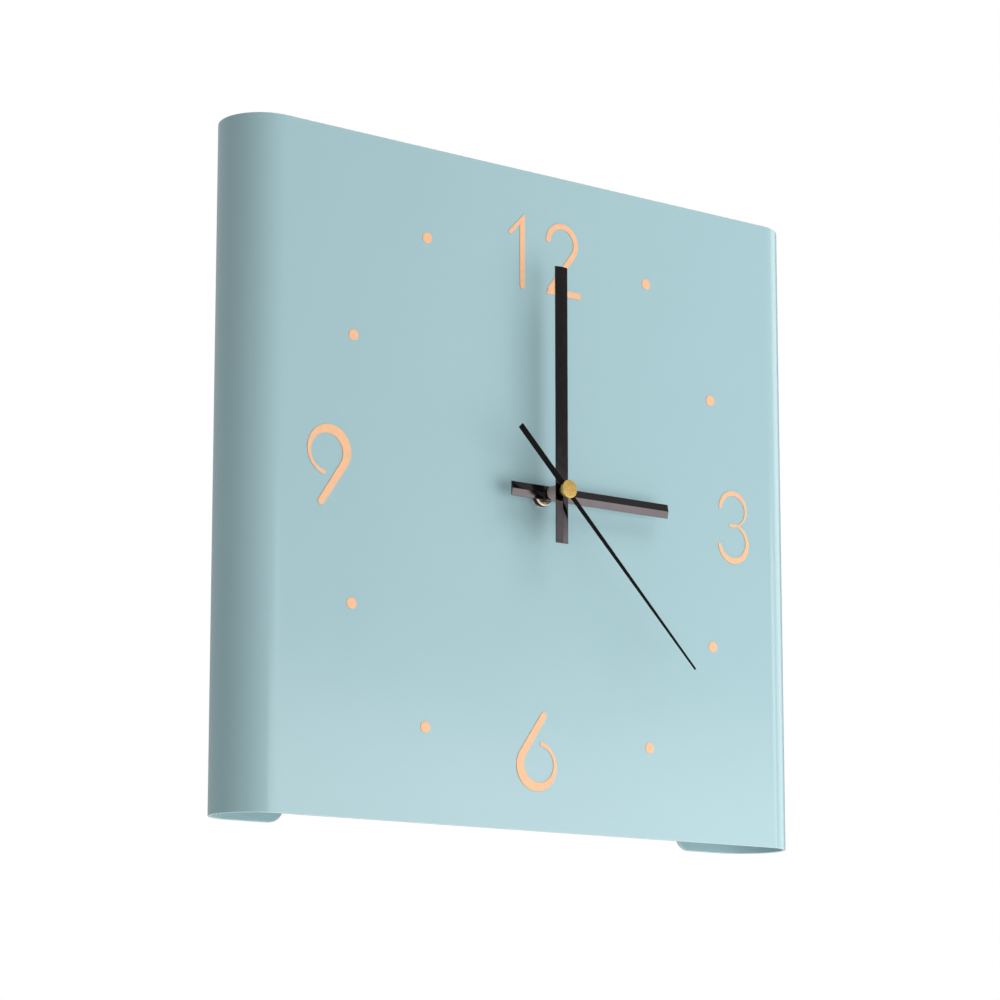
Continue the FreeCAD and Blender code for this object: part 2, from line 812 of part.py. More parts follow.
THIRD_DISTANCE = pair_distance(MODULE_COARSE, THIRD_PINION, CENTRE_WHEEL)
THIRD_MODULE = 2 * THIRD_DISTANCE / (SECOND_PINION + THIRD_WHEEL)
MOTION_DISTANCE = pair_distance(MODULE_COARSE, MINUTE_PINION, HOUR_WHEEL)
MOTION_MODULE = 2 * MOTION_DISTANCE / (CANNON_PINION + MINUTE_WHEEL)
INTERMEDIATE_DISTANCE = pair_distance(MODULE_COARSE, INTERMEDIATE_PINION, SECOND_WHEEL)
ROTOR_DISTANCE = pair_distance(ROTOR_MODULE, ROTOR_PINION, INTERMEDIATE_WHEEL)
SETTING_DISTANCE = pair_distance(MOTION_MODULE, SETTING_PINION, MINUTE_WHEEL)
THIRD_AT = axis_at(THIRD_DISTANCE, THIRD_BEARING)
INTERMEDIATE_AT = axis_at(INTERMEDIATE_DISTANCE, INTERMEDIATE_BEARING)
ROTOR_AT = axis_at(ROTOR_DISTANCE, ROTOR_BEARING, *INTERMEDIATE_AT)
MINUTE_AT = axis_at(MOTION_DISTANCE, MINUTE_BEARING)
SETTING_AT = axis_at(SETTING_DISTANCE, SETTING_BEARING, *MINUTE_AT)


def move_to(obj, label, place):
    """Name a wheel drawn about its own arbor and set it on its axis."""
    x, z = place
    sub_part(obj, label, y=FLOOR_Y, z=f"{DIAL_Z} + {z}")
    bind(obj, {"Placement.Base.x": x})


def arbor(name, start, end, front_pivot=True):
    """A shaft between two depths with a thin pivot at its rear end, and at its front end."""
    pieces = [
        rod(f"{name}_shaft", "params.second_arbor_radius", start, f"({end}) - ({start})"),
        rod(f"{name}_rear_pivot", "params.pivot_radius", end, "params.pivot_length"),
    ]
    if front_pivot:
        before = f"({start}) - params.pivot_length"
        pieces.append(rod(f"{name}_front_pivot", "params.pivot_radius", before, "params.pivot_length"))
    return pieces


def time_train():
    """Rotor, intermediate wheel, second wheel, third wheel and centre wheel."""
    second_phase = 0.0
    pinion = tooth_ring(
        "second_pinion", SECOND_PINION, THIRD_MODULE, "params.third_wheel_front - params.pinion_lead",
        "params.second_wheel_front - params.third_wheel_front + params.pinion_lead", second_phase,
    )
    wheel = tooth_ring(
        "second_toothing", SECOND_WHEEL, MODULE_COARSE, "params.second_wheel_front", "params.wheel_thickness",
        second_phase,
    )
    hole = rod("second_wheel_bore", "params.second_arbor_radius", "0", "params.case_depth")
    move_to(cut("second_wheel", fuse("second_blank", pinion, wheel), hole), "second_wheel", (0, 0))

    arbor_front = f"({FACE_Y} - params.second_arbor_front - {FLOOR_Y})"
    shaft = fuse("second_arbor", *arbor("second", arbor_front, "params.arbor_rear", front_pivot=False))
    move_to(shaft, "second_arbor", (0, 0))

    third_phase = meshing_phase(SECOND_PINION, second_phase, THIRD_BEARING, THIRD_WHEEL)
    third_wheel = fuse(
        "third_wheel",
        tooth_ring(
            "third_toothing", THIRD_WHEEL, THIRD_MODULE, "params.third_wheel_front", "params.wheel_thickness",
            third_phase,
        ),
        tooth_ring(
            "third_pinion", THIRD_PINION, MODULE_COARSE, "params.centre_wheel_front - params.pinion_lead",
            "params.pinion_thickness", third_phase,
        ),
        *arbor("third", "params.shaft_clearance", "params.arbor_rear"),
    )
    move_to(third_wheel, "third_wheel", THIRD_AT)

    centre_phase = meshing_phase(THIRD_PINION, third_phase, THIRD_BEARING + 180, CENTRE_WHEEL)
    wheel = tooth_ring(
        "centre_toothing", CENTRE_WHEEL, MODULE_COARSE, "params.centre_wheel_front", "params.wheel_thickness",
        centre_phase,
    )
    around_tube = "params.minute_tube_radius + params.running_gap"
    hole = rod("centre_wheel_bore", around_tube, "0", "params.case_depth")
    move_to(cut("centre_wheel", wheel, hole), "centre_wheel", (0, 0))

    behind_plate = "params.plate_front + params.plate_thickness + params.shaft_clearance"
    small_phase = meshing_phase(SECOND_WHEEL, second_phase, INTERMEDIATE_BEARING, INTERMEDIATE_PINION)
    intermediate = fuse(
        "intermediate_wheel",
        tooth_ring(
            "intermediate_pinion", INTERMEDIATE_PINION, MODULE_COARSE,
            "params.second_wheel_front - params.pinion_lead",
            "params.intermediate_wheel_front - params.second_wheel_front + params.pinion_lead", small_phase,
        ),
        tooth_ring(
            "intermediate_toothing", INTERMEDIATE_WHEEL, ROTOR_MODULE, "params.intermediate_wheel_front",
            "params.wheel_thickness", small_phase,
        ),
        *arbor("intermediate", behind_plate, "params.arbor_rear"),
    )
    move_to(intermediate, "intermediate_wheel", INTERMEDIATE_AT)

    rotor_phase = meshing_phase(INTERMEDIATE_WHEEL, small_phase, ROTOR_BEARING, ROTOR_PINION)
    pinion = tooth_ring(
        "rotor_toothing", ROTOR_PINION, ROTOR_MODULE, "params.intermediate_wheel_front - params.pinion_lead",
        "params.pinion_thickness", rotor_phase,
    )
    rotor_shaft = arbor("rotor", behind_plate, "params.arbor_rear + params.rotor_arbor_extra")
    move_to(fuse("rotor_pinion", pinion, *rotor_shaft), "rotor_pinion", ROTOR_AT)
    disc = rod("magnet_disc", "params.magnet_radius", "params.magnet_front", "params.magnet_thickness")
    hole = rod("magnet_bore", "params.second_arbor_radius", "0", "params.case_depth")
    move_to(cut("rotor_magnet", disc, hole), "rotor_magnet", ROTOR_AT)


def motion_work():
    """Cannon pinion, minute wheel, hour wheel and the setting stem, geared 12 to 1."""
    cannon_phase = 0.0
    pinion = tooth_ring(
        "cannon_toothing", CANNON_PINION, MOTION_MODULE, "params.minute_wheel_front - params.pinion_lead",
        "params.pinion_thickness", cannon_phase,
    )
    tube_front = f"({FACE_Y} - params.minute_tube_front - {FLOOR_Y})"
    tube_rear = "params.plate_front - params.shaft_clearance"
    tube = rod("cannon_tube", "params.minute_tube_radius", tube_front, f"({tube_rear}) - {tube_front}")
    gap = "params.running_gap"
    hole = rod("cannon_bore", f"params.second_arbor_radius + {gap}", tube_front, "2 * params.panel_depth")
    move_to(cut("cannon_pinion", fuse("cannon_blank", pinion, tube), hole), "cannon_pinion", (0, 0))

    minute_phase = meshing_phase(CANNON_PINION, cannon_phase, MINUTE_BEARING, MINUTE_WHEEL)
    blank = fuse(
        "minute_blank",
        tooth_ring(
            "minute_toothing", MINUTE_WHEEL, MOTION_MODULE, "params.minute_wheel_front",
            "params.wheel_thickness", minute_phase,
        ),
        tooth_ring(
            "minute_pinion", MINUTE_PINION, MODULE_COARSE, "params.hour_wheel_front",
            "params.minute_wheel_front - params.hour_wheel_front", minute_phase,
        ),
    )
    hole = rod("minute_bore", f"params.post_radius + {gap}", "0", "params.case_depth")
    move_to(cut("minute_wheel", blank, hole), "minute_wheel", MINUTE_AT)

    hour_phase = meshing_phase(MINUTE_PINION, minute_phase, MINUTE_BEARING + 180, HOUR_WHEEL)
    toothing = tooth_ring(
        "hour_toothing", HOUR_WHEEL, MODULE_COARSE, "params.hour_wheel_front", "params.wheel_thickness",
        hour_phase,
    )
    tube_front = f"({FACE_Y} - params.hour_tube_front - {FLOOR_Y})"
    tube = rod("hour_tube", "params.hour_tube_radius", tube_front, f"params.hour_wheel_front - {tube_front}")
    hole = rod("hour_bore", f"params.minute_tube_radius + {gap}", tube_front, "2 * params.panel_depth")
    move_to(cut("hour_wheel", fuse("hour_blank", toothing, tube), hole), "hour_wheel", (0, 0))

    setting_phase = meshing_phase(MINUTE_WHEEL, minute_phase, SETTING_BEARING, SETTING_PINION)
    cover_rear = "(params.case_depth - params.case_floor + params.cover_thickness)"
    knob_front = f"({cover_rear} + params.knob_gap)"
    shaft_radius = "params.setting_shaft_radius"
    shaft_front, shaft_rear = "params.shaft_clearance", f"{knob_front} + params.knob_thickness / 2"
    pinion_front = "params.minute_wheel_front - params.pinion_lead"
    pivot_front = "(-params.stem_pivot_length)"
    stem = fuse(
        "setting_stem",
        tooth_ring(
            "setting_toothing", SETTING_PINION, MOTION_MODULE, pinion_front, "params.pinion_thickness",
            setting_phase,
        ),
        rod("setting_shaft", shaft_radius, shaft_front, f"{shaft_rear} - {shaft_front}"),
        rod("setting_pivot", "params.post_radius", pivot_front, f"{shaft_front} - {pivot_front}"),
    )
    move_to(stem, "setting_stem", SETTING_AT)
    knob = rod("knob_disc", "params.knob_radius", knob_front, "params.knob_thickness")
    socket = rod("knob_socket", shaft_radius, knob_front, "params.knob_thickness / 2")
    move_to(cut("setting_knob", knob, socket), "setting_knob", SETTING_AT)


# ---- movement case ------------------------------------------------------------------------

def movement_front_case():
    """Open tray with a battery bay along its bottom, bearing holes, a post and four pillars."""
    half = "(params.case_side / 2)"
    inner = f"({half} - params.case_wall)"
    depth = "(params.case_depth - params.case_floor)"
    tray = block("case_outer", (f"-{half}", half), ("-params.case_floor", depth), (f"-{half}", half))
    low = "-(params.bay_wall_top + params.bay_wall)"
    inside = ("0", f"{depth} + params.overcut")
    room = block("case_room", (f"-{inner}", inner), inside, ("-params.bay_wall_top", inner))
    bay = block("battery_bay", (f"-{inner}", inner), inside, (f"params.bay_wall - {half}", low))
    gap_height = (f"{low} - params.overcut", "0")
    bay_wall_gaps = [
        block("contact_gap_left", (f"-{inner}", "-params.bay_wall_half"), inside, gap_height),
        block("contact_gap_right", ("params.bay_wall_half", inner), inside, gap_height),
    ]
    seat_front, seat_length = "-2 * params.case_floor", "4 * params.case_floor"
    seat = rod("bushing_seat", "params.bushing_seat_radius", seat_front, seat_length)
    pivot = "(params.pivot_radius + params.pivot_gap)"
    third_bearing = rod("third_bearing", pivot, "-params.pivot_length", "2 * params.pivot_length", *THIRD_AT)
    stem_seat = "(params.stem_pivot_length + params.shaft_clearance)"
    stem_radius = "params.post_radius + params.running_gap"
    setting_bearing = rod("setting_bearing", stem_radius, f"-{stem_seat}", f"2 * {stem_seat}", *SETTING_AT)
    shell = cut("case_shell", tray, room, bay, *bay_wall_gaps, seat, third_bearing, setting_bearing)
    sunk = "(-params.post_sink)"
    post = rod("minute_post", "params.post_radius", sunk, f"params.post_height - {sunk}", *MINUTE_AT)
    pillars = []
    for x in ("-params.pillar_x", "params.pillar_x"):
        for z in ("-params.pillar_low", "params.pillar_high"):
            name = f"pillar_{len(pillars)}"
            pillars.append(rod(name, "params.pillar_radius", sunk, f"params.plate_front - {sunk}", x, z))
    move_to(fuse("movement_front_case", shell, post, *pillars), "movement_front_case", (0, 0))


def middle_plate():
    """Bearing plate between the motion work and the time train, standing on the four pillars."""
    rear = "(params.plate_front + params.plate_thickness)"
    width = ("-params.plate_half_width", "params.plate_half_width")
    height = ("-params.plate_low", "params.plate_high")
    plate = block("plate_blank", width, ("params.plate_front", rear), height)
    pivot = "(params.pivot_radius + params.pivot_gap)"
    stem_radius = "params.setting_shaft_radius + params.running_gap"
    start, length = "params.plate_front - params.overcut", "params.plate_thickness + 2 * params.overcut"
    holes = [
        rod("plate_centre_hole", "params.post_radius", start, length),
        rod("plate_third_hole", "3 * params.second_arbor_radius", start, length, *THIRD_AT),
        rod("plate_setting_hole", stem_radius, start, length, *SETTING_AT),
        rod("plate_intermediate_hole", pivot, start, length, *INTERMEDIATE_AT),
        rod("plate_rotor_hole", pivot, start, length, *ROTOR_AT),
    ]
    move_to(cut("middle_plate", plate, *holes), "middle_plate", (0, 0))


def movement_rear_cover():
    """Flat cover over the gears, with bearing bosses inside and a hole for the setting stem."""
    half = "(params.case_side / 2)"
    front = "(params.case_depth - params.case_floor)"
    rear = f"({front} + params.cover_thickness)"
    low = "-(params.bay_wall_top + params.bay_wall)"
    plate = block("cover_plate", (f"-{half}", half), (front, rear), (low, half))
    sunk = f"({front} + params.boss_sink)"
    bore = "params.pivot_radius + params.pivot_gap"
    bosses = []
    bores = []
    for name, place, arbor_rear in (
        ("centre", (0, 0), "params.arbor_rear"),
        ("third", THIRD_AT, "params.arbor_rear"),
        ("intermediate", INTERMEDIATE_AT, "params.arbor_rear"),
        ("rotor", ROTOR_AT, "(params.arbor_rear + params.rotor_arbor_extra)"),
    ):
        face = f"({arbor_rear} + params.end_play)"
        bosses.append(rod(f"{name}_boss", "params.boss_radius", face, f"{sunk} - {face}", *place))
        bores.append(rod(f"{name}_bore", bore, arbor_rear, "params.pivot_length + params.end_play", *place))
    rest = "(params.board_front + params.board_thickness)"
    inset = "params.board_rest_inset"
    for side, x in (("left", f"{inset} - params.board_left"), ("right", f"-params.board_right - {inset}")):
        z = f"params.board_low + {inset}"
        bosses.append(rod(f"board_rest_{side}", "params.boss_radius", rest, f"{sunk} - {rest}", x, z))
    stem_radius = "params.setting_shaft_radius + params.running_gap"
    stem_hole = rod("stem_hole", stem_radius, "0", "2 * params.case_depth", *SETTING_AT)
    cover = cut("movement_rear_cover", fuse("cover_blank", plate, *bosses), stem_hole, *bores)
    move_to(cover, "movement_rear_cover", (0, 0))


# ---- motor and electronics ----------------------------------------------------------------

def motor():
    """Stator plate around the magnet, and the coil on its iron core across the stator's legs."""
    rear = "(params.stator_front + params.stator_thickness)"
    depth = ("params.stator_front", rear)
    left, right = "(-params.stator_left)", "params.stator_right"
    bar = block("stator_bar", (left, right), depth, ("params.stator_low", "params.stator_high"))
    rise = ("params.stator_low", "params.stator_top")
    legs = [
        block("stator_leg_left", (left, f"{left} + params.stator_leg"), depth, rise),
        block("stator_leg_right", (f"{right} - params.stator_leg", right), depth, rise),
    ]
    hole = rod("stator_hole", "params.stator_hole_radius", "0", "params.case_depth", *ROTOR_AT)
    move_to(cut("stator", fuse("stator_blank", bar, *legs), hole), "stator", (0, 0))

    core_front = "(params.stator_front - params.core_thickness)"
    core_span = ("params.coil_height - params.core_width / 2", "params.coil_height + params.core_width / 2")
    core = block("coil_core_bar", (left, right), (core_front, "params.stator_front"), core_span)
    move_to(alone("coil_core", core), "coil_core", (0, 0))

    axis_y = f"({core_front} + params.core_thickness / 2)"
    start = f"({left} + params.stator_leg)"
    length = f"({right} - params.stator_leg - {start})"
    around = (axis_y, "params.coil_height")
    spool = fuse(
        "spool",
        cross_rod("spool_tube", "params.bobbin_radius", start, length, *around),
        cross_rod("spool_left", "params.bobbin_flange_radius", start, "params.bobbin_flange", *around),
        cross_rod(
            "spool_right", "params.bobbin_flange_radius", f"{start} + {length} - params.bobbin_flange",
            "params.bobbin_flange", *around,
        ),
    )
    window = block("spool_window", (left, right), (core_front, "params.stator_front"), core_span)
    move_to(cut("coil_bobbin", spool, window), "coil_bobbin", (0, 0))
    wound = f"{start} + params.bobbin_flange"
    turns = cross_rod("turns", "params.coil_radius", wound, f"{length} - 2 * params.bobbin_flange", *around)
    inside = cross_rod("turns_inside", "params.bobbin_radius", start, length, *around)
    move_to(cut("coil_winding", turns, inside), "coil_winding", (0, 0))


def electronics():
    """Circuit board with its quartz crystal can and the chip under a blob of resin."""
    rear = "(params.board_front + params.board_thickness)"
    board = block(
        "board", ("-params.board_left", "-params.board_right"), ("params.board_front", rear),
        ("params.board_low", "params.board_top"),
    )
    move_to(alone("circuit_board", board), "circuit_board", (0, 0))
    lift = "params.board_front - params.crystal_radius"
    along = ("-params.crystal_x", "params.crystal_length")
    can = cross_rod("can", "params.crystal_radius", *along, lift, "params.crystal_z")
    move_to(alone("quartz_crystal", can), "quartz_crystal", (0, 0))
    blob = cone(
        "blob", "params.blob_radius", "params.blob_radius / 2", "params.blob_height",
        "-params.blob_x", "params.board_front", "params.blob_z", TO_FRONT,
    )
    move_to(alone("chip_resin", blob), "chip_resin", (0, 0))


def contact(name, side, tab_length):
    """A sprung plate against one end of the cell, with a strip that rises past the bay wall."""
    inner = "(params.case_side / 2 - params.case_wall)"
    face = f"({inner} - params.contact_thickness)"
    x_span = (face, inner) if side > 0 else (f"-{inner}", f"-{face}")
    depth = "(params.case_depth - params.case_floor)"
    top = "params.board_top + params.contact_thickness" if side > 0 else "params.crystal_z"
    strip_rear = "(params.strip_front + params.strip_width)"
    plate_depth = ("params.contact_front", f"{depth} - params.contact_rear_gap")
    cell_axis = ("params.battery_axis_depth", "-params.battery_drop")
    pieces = [
        block(f"{name}_plate", x_span, plate_depth, ("-params.contact_low", "-params.contact_high")),
        block(f"{name}_strip", x_span, ("params.strip_front", strip_rear), ("-params.contact_high", top)),
    ]
    if side > 0:
        tab_span, tab_height = (f"-{tab_length}", inner), ("params.board_top", top)
        pieces.append(block(f"{name}_tab", tab_span, ("params.strip_front", strip_rear), tab_height))
        dimple = (f"{face} - params.dimple_length", "params.dimple_length", *cell_axis)
        pieces.append(cross_rod(f"{name}_dimple", "params.spring_tip_radius", *dimple))
    else:
        sizes = ("params.spring_radius", "params.spring_tip_radius", "params.spring_length")
        pieces.append(cone(f"{name}_spring", *sizes, f"-{face}", *cell_axis, TO_X))
    move_to(fuse(name, *pieces), name, (0, 0))


def battery():
    """An AA cell lying along the bay, its positive nub to the right."""
    place = ("params.battery_axis_depth", "-params.battery_drop")
    left = "-params.battery_left"
    can = cross_rod("cell_can", "params.battery_radius", left, "params.battery_length", *place)
    end = "params.battery_length - params.battery_left"
    nub = cross_rod("cell_nub", "params.nub_radius", end, "params.nub_length", *place)
    move_to(fuse("battery", can, nub), "battery", (0, 0))


# ---- build, check and write ---------------------------------------------------------------

def check_document():
    doc.recompute()
    for obj in doc.Objects:
        if "Invalid" in obj.State or "Error" in obj.State:
            raise ValueError(f"{obj.Name} failed: {obj.State}")
    for part in subparts:
        if part.Shape.isNull() or not part.Shape.isValid() or part.Shape.Volume <= 0:
            raise ValueError(f"{part.Label} has no valid shape")


def write_parts():
    os.makedirs("parts", exist_ok=True)
    for part in subparts:
        part.Shape.exportStep(f"parts/{part.Label}.step")
        print(f"{part.Label:24s} {len(part.Shape.Solids)} solid {part.Shape.Volume:12.2f} mm3")


fill_sheet()
front_panel()
numerals()
hour_dots()
fixing()
motion_work()
time_train()
movement_front_case()
middle_plate()
movement_rear_cover()
motor()
electronics()
contact("battery_contact_negative", -1, "0")
contact("battery_contact_positive", 1, "(params.board_left - params.contact_tab_inset)")
battery()
hands()
bushes()
check_document()
write_parts()
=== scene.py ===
import json
import math

import bmesh
import bpy
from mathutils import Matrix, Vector


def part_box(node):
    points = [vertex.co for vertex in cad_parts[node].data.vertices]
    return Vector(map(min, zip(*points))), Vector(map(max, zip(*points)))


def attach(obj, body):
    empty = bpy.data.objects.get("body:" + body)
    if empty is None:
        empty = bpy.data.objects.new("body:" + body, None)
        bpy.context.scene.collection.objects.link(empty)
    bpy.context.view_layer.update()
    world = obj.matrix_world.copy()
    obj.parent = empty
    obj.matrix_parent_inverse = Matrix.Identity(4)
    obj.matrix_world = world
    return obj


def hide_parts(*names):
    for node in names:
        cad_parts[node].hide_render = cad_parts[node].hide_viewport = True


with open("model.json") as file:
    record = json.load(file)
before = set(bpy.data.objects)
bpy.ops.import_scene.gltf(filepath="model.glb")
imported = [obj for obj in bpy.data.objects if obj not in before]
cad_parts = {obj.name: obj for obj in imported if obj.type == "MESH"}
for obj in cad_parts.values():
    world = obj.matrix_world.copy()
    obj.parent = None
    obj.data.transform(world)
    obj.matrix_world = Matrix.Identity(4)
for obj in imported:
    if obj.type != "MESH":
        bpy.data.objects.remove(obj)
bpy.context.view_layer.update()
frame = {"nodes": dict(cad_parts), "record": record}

# Everything is in metres in the row frame: +X right, +Y into the wall, +Z up.
MM = 0.001
RIGHT, INWARD = Vector((1, 0, 0)), Vector((0, 1, 0))


def span(node):
    """The low and high corners of a CAD node's box, and its middle."""
    low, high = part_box(node)
    return low, high, (low + high) / 2


DIAL = span("dial_nut")[2]
KNOB = span("setting_knob")[2]


# ---- materials ------------------------------------------------------------------------------

class Finish:
    """One procedural material: a Principled shader with layers of variation added to it."""

    def __init__(self, name, colour, roughness, metallic=0.0, **sockets):
        self.name = name
        self.material = bpy.data.materials.new(name)
        self.material.use_nodes = True
        self.tree = self.material.node_tree
        self.shader = self.tree.nodes["Principled BSDF"]
        self.colour = (*colour, 1.0)
        self.roughness = roughness
        self.shader.inputs["Metallic"].default_value = metallic
        self.shader.inputs["Roughness"].default_value = roughness
        for socket, value in sockets.items():
            self.shader.inputs[socket.replace("_", " ")].default_value = value
        self.place = self.add("ShaderNodeTexCoord").outputs["Object"]
        self.bump = None

    def add(self, kind, inputs=None, **settings):
        """A node with its settings, and its inputs either linked or set."""
        node = self.tree.nodes.new(kind)
        for name, value in settings.items():
            setattr(node, name, value)
        for name, value in (inputs or {}).items():
            if isinstance(value, bpy.types.NodeSocket):
                self.tree.links.new(value, node.inputs[name])
            else:
                node.inputs[name].default_value = value
        return node

    def reckon(self, operation, first, second):
        """The result of one sum or comparison of two values."""
        return self.add("ShaderNodeMath", {0: first, 1: second}, operation=operation).outputs[0]

    def noise(self, size, detail=2.0, stretch=(1, 1, 1)):
        """Noise with features of about that size, longer along the axes where stretch is large."""
        scale = [1 / factor for factor in stretch]
        spot = self.add("ShaderNodeMapping", {"Vector": self.place, "Scale": scale}).outputs[0]
        inputs = {"Vector": spot, "Scale": 1 / size, "Detail": detail}
        return self.add("ShaderNodeTexNoise", inputs).outputs[0]

    def rings(self, centre, pitch):
        """Fine turning marks around an axis along Y."""
        vector = "ShaderNodeVectorMath"
        shifted = self.add(vector, {0: self.place, 1: -centre}, operation="ADD").outputs[0]
        flat = self.add(vector, {0: shifted, 1: (1, 0, 1)}, operation="MULTIPLY").outputs[0]
        radius = self.add(vector, {0: flat}, operation="LENGTH").outputs["Value"]
        inputs = {"W": self.reckon("MULTIPLY", radius, 1 / pitch), "Detail": 1.0}
        return self.add("ShaderNodeTexNoise", inputs, noise_dimensions="1D").outputs[0]

    def spread(self, texture, low, high):
        """A texture's middle range, mapped to run from low to high."""
        least, most = 0.3, 0.7
        inputs = {"Value": texture, "From Min": least, "From Max": most, "To Min": low, "To Max": high}
        return self.add("ShaderNodeMapRange", inputs).outputs[0]

    def mottle(self, texture, amount):
        """Lighter and darker patches."""
        factor = self.spread(texture, 1 - amount, 1 + amount)
        base = self.colour[:3] if isinstance(self.colour, tuple) else self.colour
        scaled = self.add("ShaderNodeVectorMath", {0: base, "Scale": factor}, operation="SCALE")
        self.colour = scaled.outputs[0]
        self.tree.links.new(self.colour, self.shader.inputs["Base Color"])
        return self

    def tint(self, mask, colour):
        """Another colour where the mask is high, as on a worn edge or a printed band."""
        under, over, result = 6, 7, 2  # the node's sockets for colours
        inputs = {"Factor": mask, under: self.colour, over: (*colour, 1.0)}
        self.colour = self.add("ShaderNodeMix", inputs, data_type="RGBA").outputs[result]
        self.tree.links.new(self.colour, self.shader.inputs["Base Color"])
        return self

    def worn(self, colour, width, amount):
        """Rubbed edges: the given colour shows in broken patches where two faces meet."""
        rounded = self.add("ShaderNodeBevel", {"Radius": width}, samples=4).outputs[0]
        flat = self.add("ShaderNodeNewGeometry").outputs["Normal"]
        bend = self.add("ShaderNodeVectorMath", {0: rounded, 1: flat}, operation="DOT_PRODUCT")
        slight, full = 0.97, 0.85  # cosines of the bend where the wear starts and is complete
        inputs = {"Value": bend.outputs["Value"], "From Min": slight, "From Max": full}
        edge = self.add("ShaderNodeMapRange", inputs).outputs[0]
        patches = self.spread(self.noise(4 * width, 3), 0.2 * amount, amount)
        return self.tint(self.reckon("MULTIPLY", edge, patches), colour)

    def polish(self, texture, amount):
        """Glossier and duller patches."""
        rough = self.spread(texture, self.roughness - amount, self.roughness + amount)
        self.tree.links.new(rough, self.shader.inputs["Roughness"])
        return self

    def relief(self, texture, depth):
        """Bumps of that height in metres, added to the ones that are there."""
        inputs = {"Height": texture, "Distance": depth, "Strength": 1.0}
        if self.bump:
            inputs["Normal"] = self.bump
        self.bump = self.add("ShaderNodeBump", inputs).outputs[0]
        self.tree.links.new(self.bump, self.shader.inputs["Normal"])
        return self


def brighter(colour, factor):
    """The colour with each channel scaled up, as far as full."""
    return tuple(min(1.0, factor * channel) for channel in colour)


def paler(colour, share):
    """The colour moved that share of the way to white."""
    return tuple(channel + (1 - channel) * share for channel in colour)


def painted(name, colour):
    """Satin powder coat with faint orange peel and fine grain."""
    finish = Finish(name, colour, 0.19, IOR=1.5)
    finish.mottle(finish.noise(90 * MM, 3), 0.012)
    finish.mottle(finish.noise(0.5 * MM, 2), 0.012)
    finish.polish(finish.noise(6 * MM, 4), 0.025)
    finish.relief(finish.noise(2.2 * MM, 2), 0.006 * MM)
    return finish.relief(finish.noise(0.35 * MM, 2), 0.0012 * MM)


def inlay(name):
    """Peach enamel of the numerals and dots, a little uneven, as a brushed coat dries."""
    finish = Finish(name, (0.90, 0.505, 0.285), 0.45, IOR=1.48)
    finish.mottle(finish.noise(3 * MM, 3), 0.035)
    finish.mottle(finish.noise(0.4 * MM, 2), 0.02)
    finish.polish(finish.noise(1.5 * MM, 2), 0.06)
    return finish.relief(finish.noise(0.8 * MM, 3), 0.02 * MM)


def lacquered(name, colour, roughness, metallic=0.0, **sockets):
    """Dark hand metal with a fine mottle, duller patches and slightly rubbed edges."""
    finish = Finish(name, colour, roughness, metallic, **sockets)
    finish.worn(brighter(colour, 3), 0.15 * MM, 0.5)
    finish.mottle(finish.noise(5 * MM, 3), 0.05)
    finish.mottle(finish.noise(0.2 * MM, 2), 0.05)
    finish.polish(finish.noise(2.5 * MM, 3), 0.03)
    return finish.relief(finish.noise(0.25 * MM, 2), 0.0008 * MM)


def turned_metal(name, colour, roughness, centre, pitch=0.12 * MM, depth=0.004 * MM):
    """Metal off the lathe: concentric marks, small bright and dull patches, brighter edges."""
    finish = Finish(name, colour, roughness, 1.0)
    finish.worn(brighter(colour, 1.3), 0.12 * MM, 0.8)
    finish.mottle(finish.noise(1.2 * MM, 3), 0.07)
    finish.polish(finish.noise(0.8 * MM, 3), 0.06)
    return finish.relief(finish.rings(centre, pitch), depth)


def blasted_metal(name, colour, roughness, metallic=1.0):
    """Bead-blasted metal: a matte, speckled grain and brighter edges."""
    finish = Finish(name, colour, roughness, metallic)
    finish.worn(brighter(colour, 1.25), 0.15 * MM, 0.7)
    finish.mottle(finish.noise(0.42 * MM, 2), 0.24)
    finish.mottle(finish.noise(2 * MM, 3), 0.05)
    finish.polish(finish.noise(0.5 * MM, 2), 0.08)
    return finish.relief(finish.noise(0.42 * MM, 2), 0.09 * MM)


def rolled_metal(name, colour, roughness, stretch):
    """Sheet metal with the long grain of the rolling mill."""
    finish = Finish(name, colour, roughness, 1.0)
    finish.worn(brighter(colour, 1.25), 0.1 * MM, 0.8)
    finish.mottle(finish.noise(2 * MM, 3), 0.06)
    finish.polish(finish.noise(0.6 * MM, 3, stretch), 0.08)
    return finish.relief(finish.noise(0.12 * MM, 2, stretch), 0.003 * MM)


def moulded(name, colour, roughness, grain=0.3 * MM):
    """Injection-moulded plastic with a spark-eroded texture and flow marks."""
    finish = Finish(name, colour, roughness, IOR=1.48)
    finish.worn(paler(colour, 0.1), 0.3 * MM, 0.45)
    finish.mottle(finish.noise(14 * MM, 3), 0.05)
    finish.mottle(finish.noise(0.4 * MM, 2), 0.06)
    finish.polish(finish.noise(5 * MM, 3), 0.06)
    finish.relief(finish.noise(6 * MM, 2), 0.02 * MM)
    return finish.relief(finish.noise(grain, 2), 0.01 * MM)


def rubber(name):
    """Black rubber with a dusty bloom and greyer edges."""
    finish = Finish(name, (0.022, 0.021, 0.020), 0.85, IOR=1.5, Sheen_Weight=0.15)
    finish.worn((0.06, 0.058, 0.055), 0.3 * MM, 0.6)
    finish.mottle(finish.noise(4 * MM, 4), 0.25)
    finish.polish(finish.noise(2 * MM, 3), 0.08)
    return finish.relief(finish.noise(0.35 * MM, 3), 0.03 * MM)


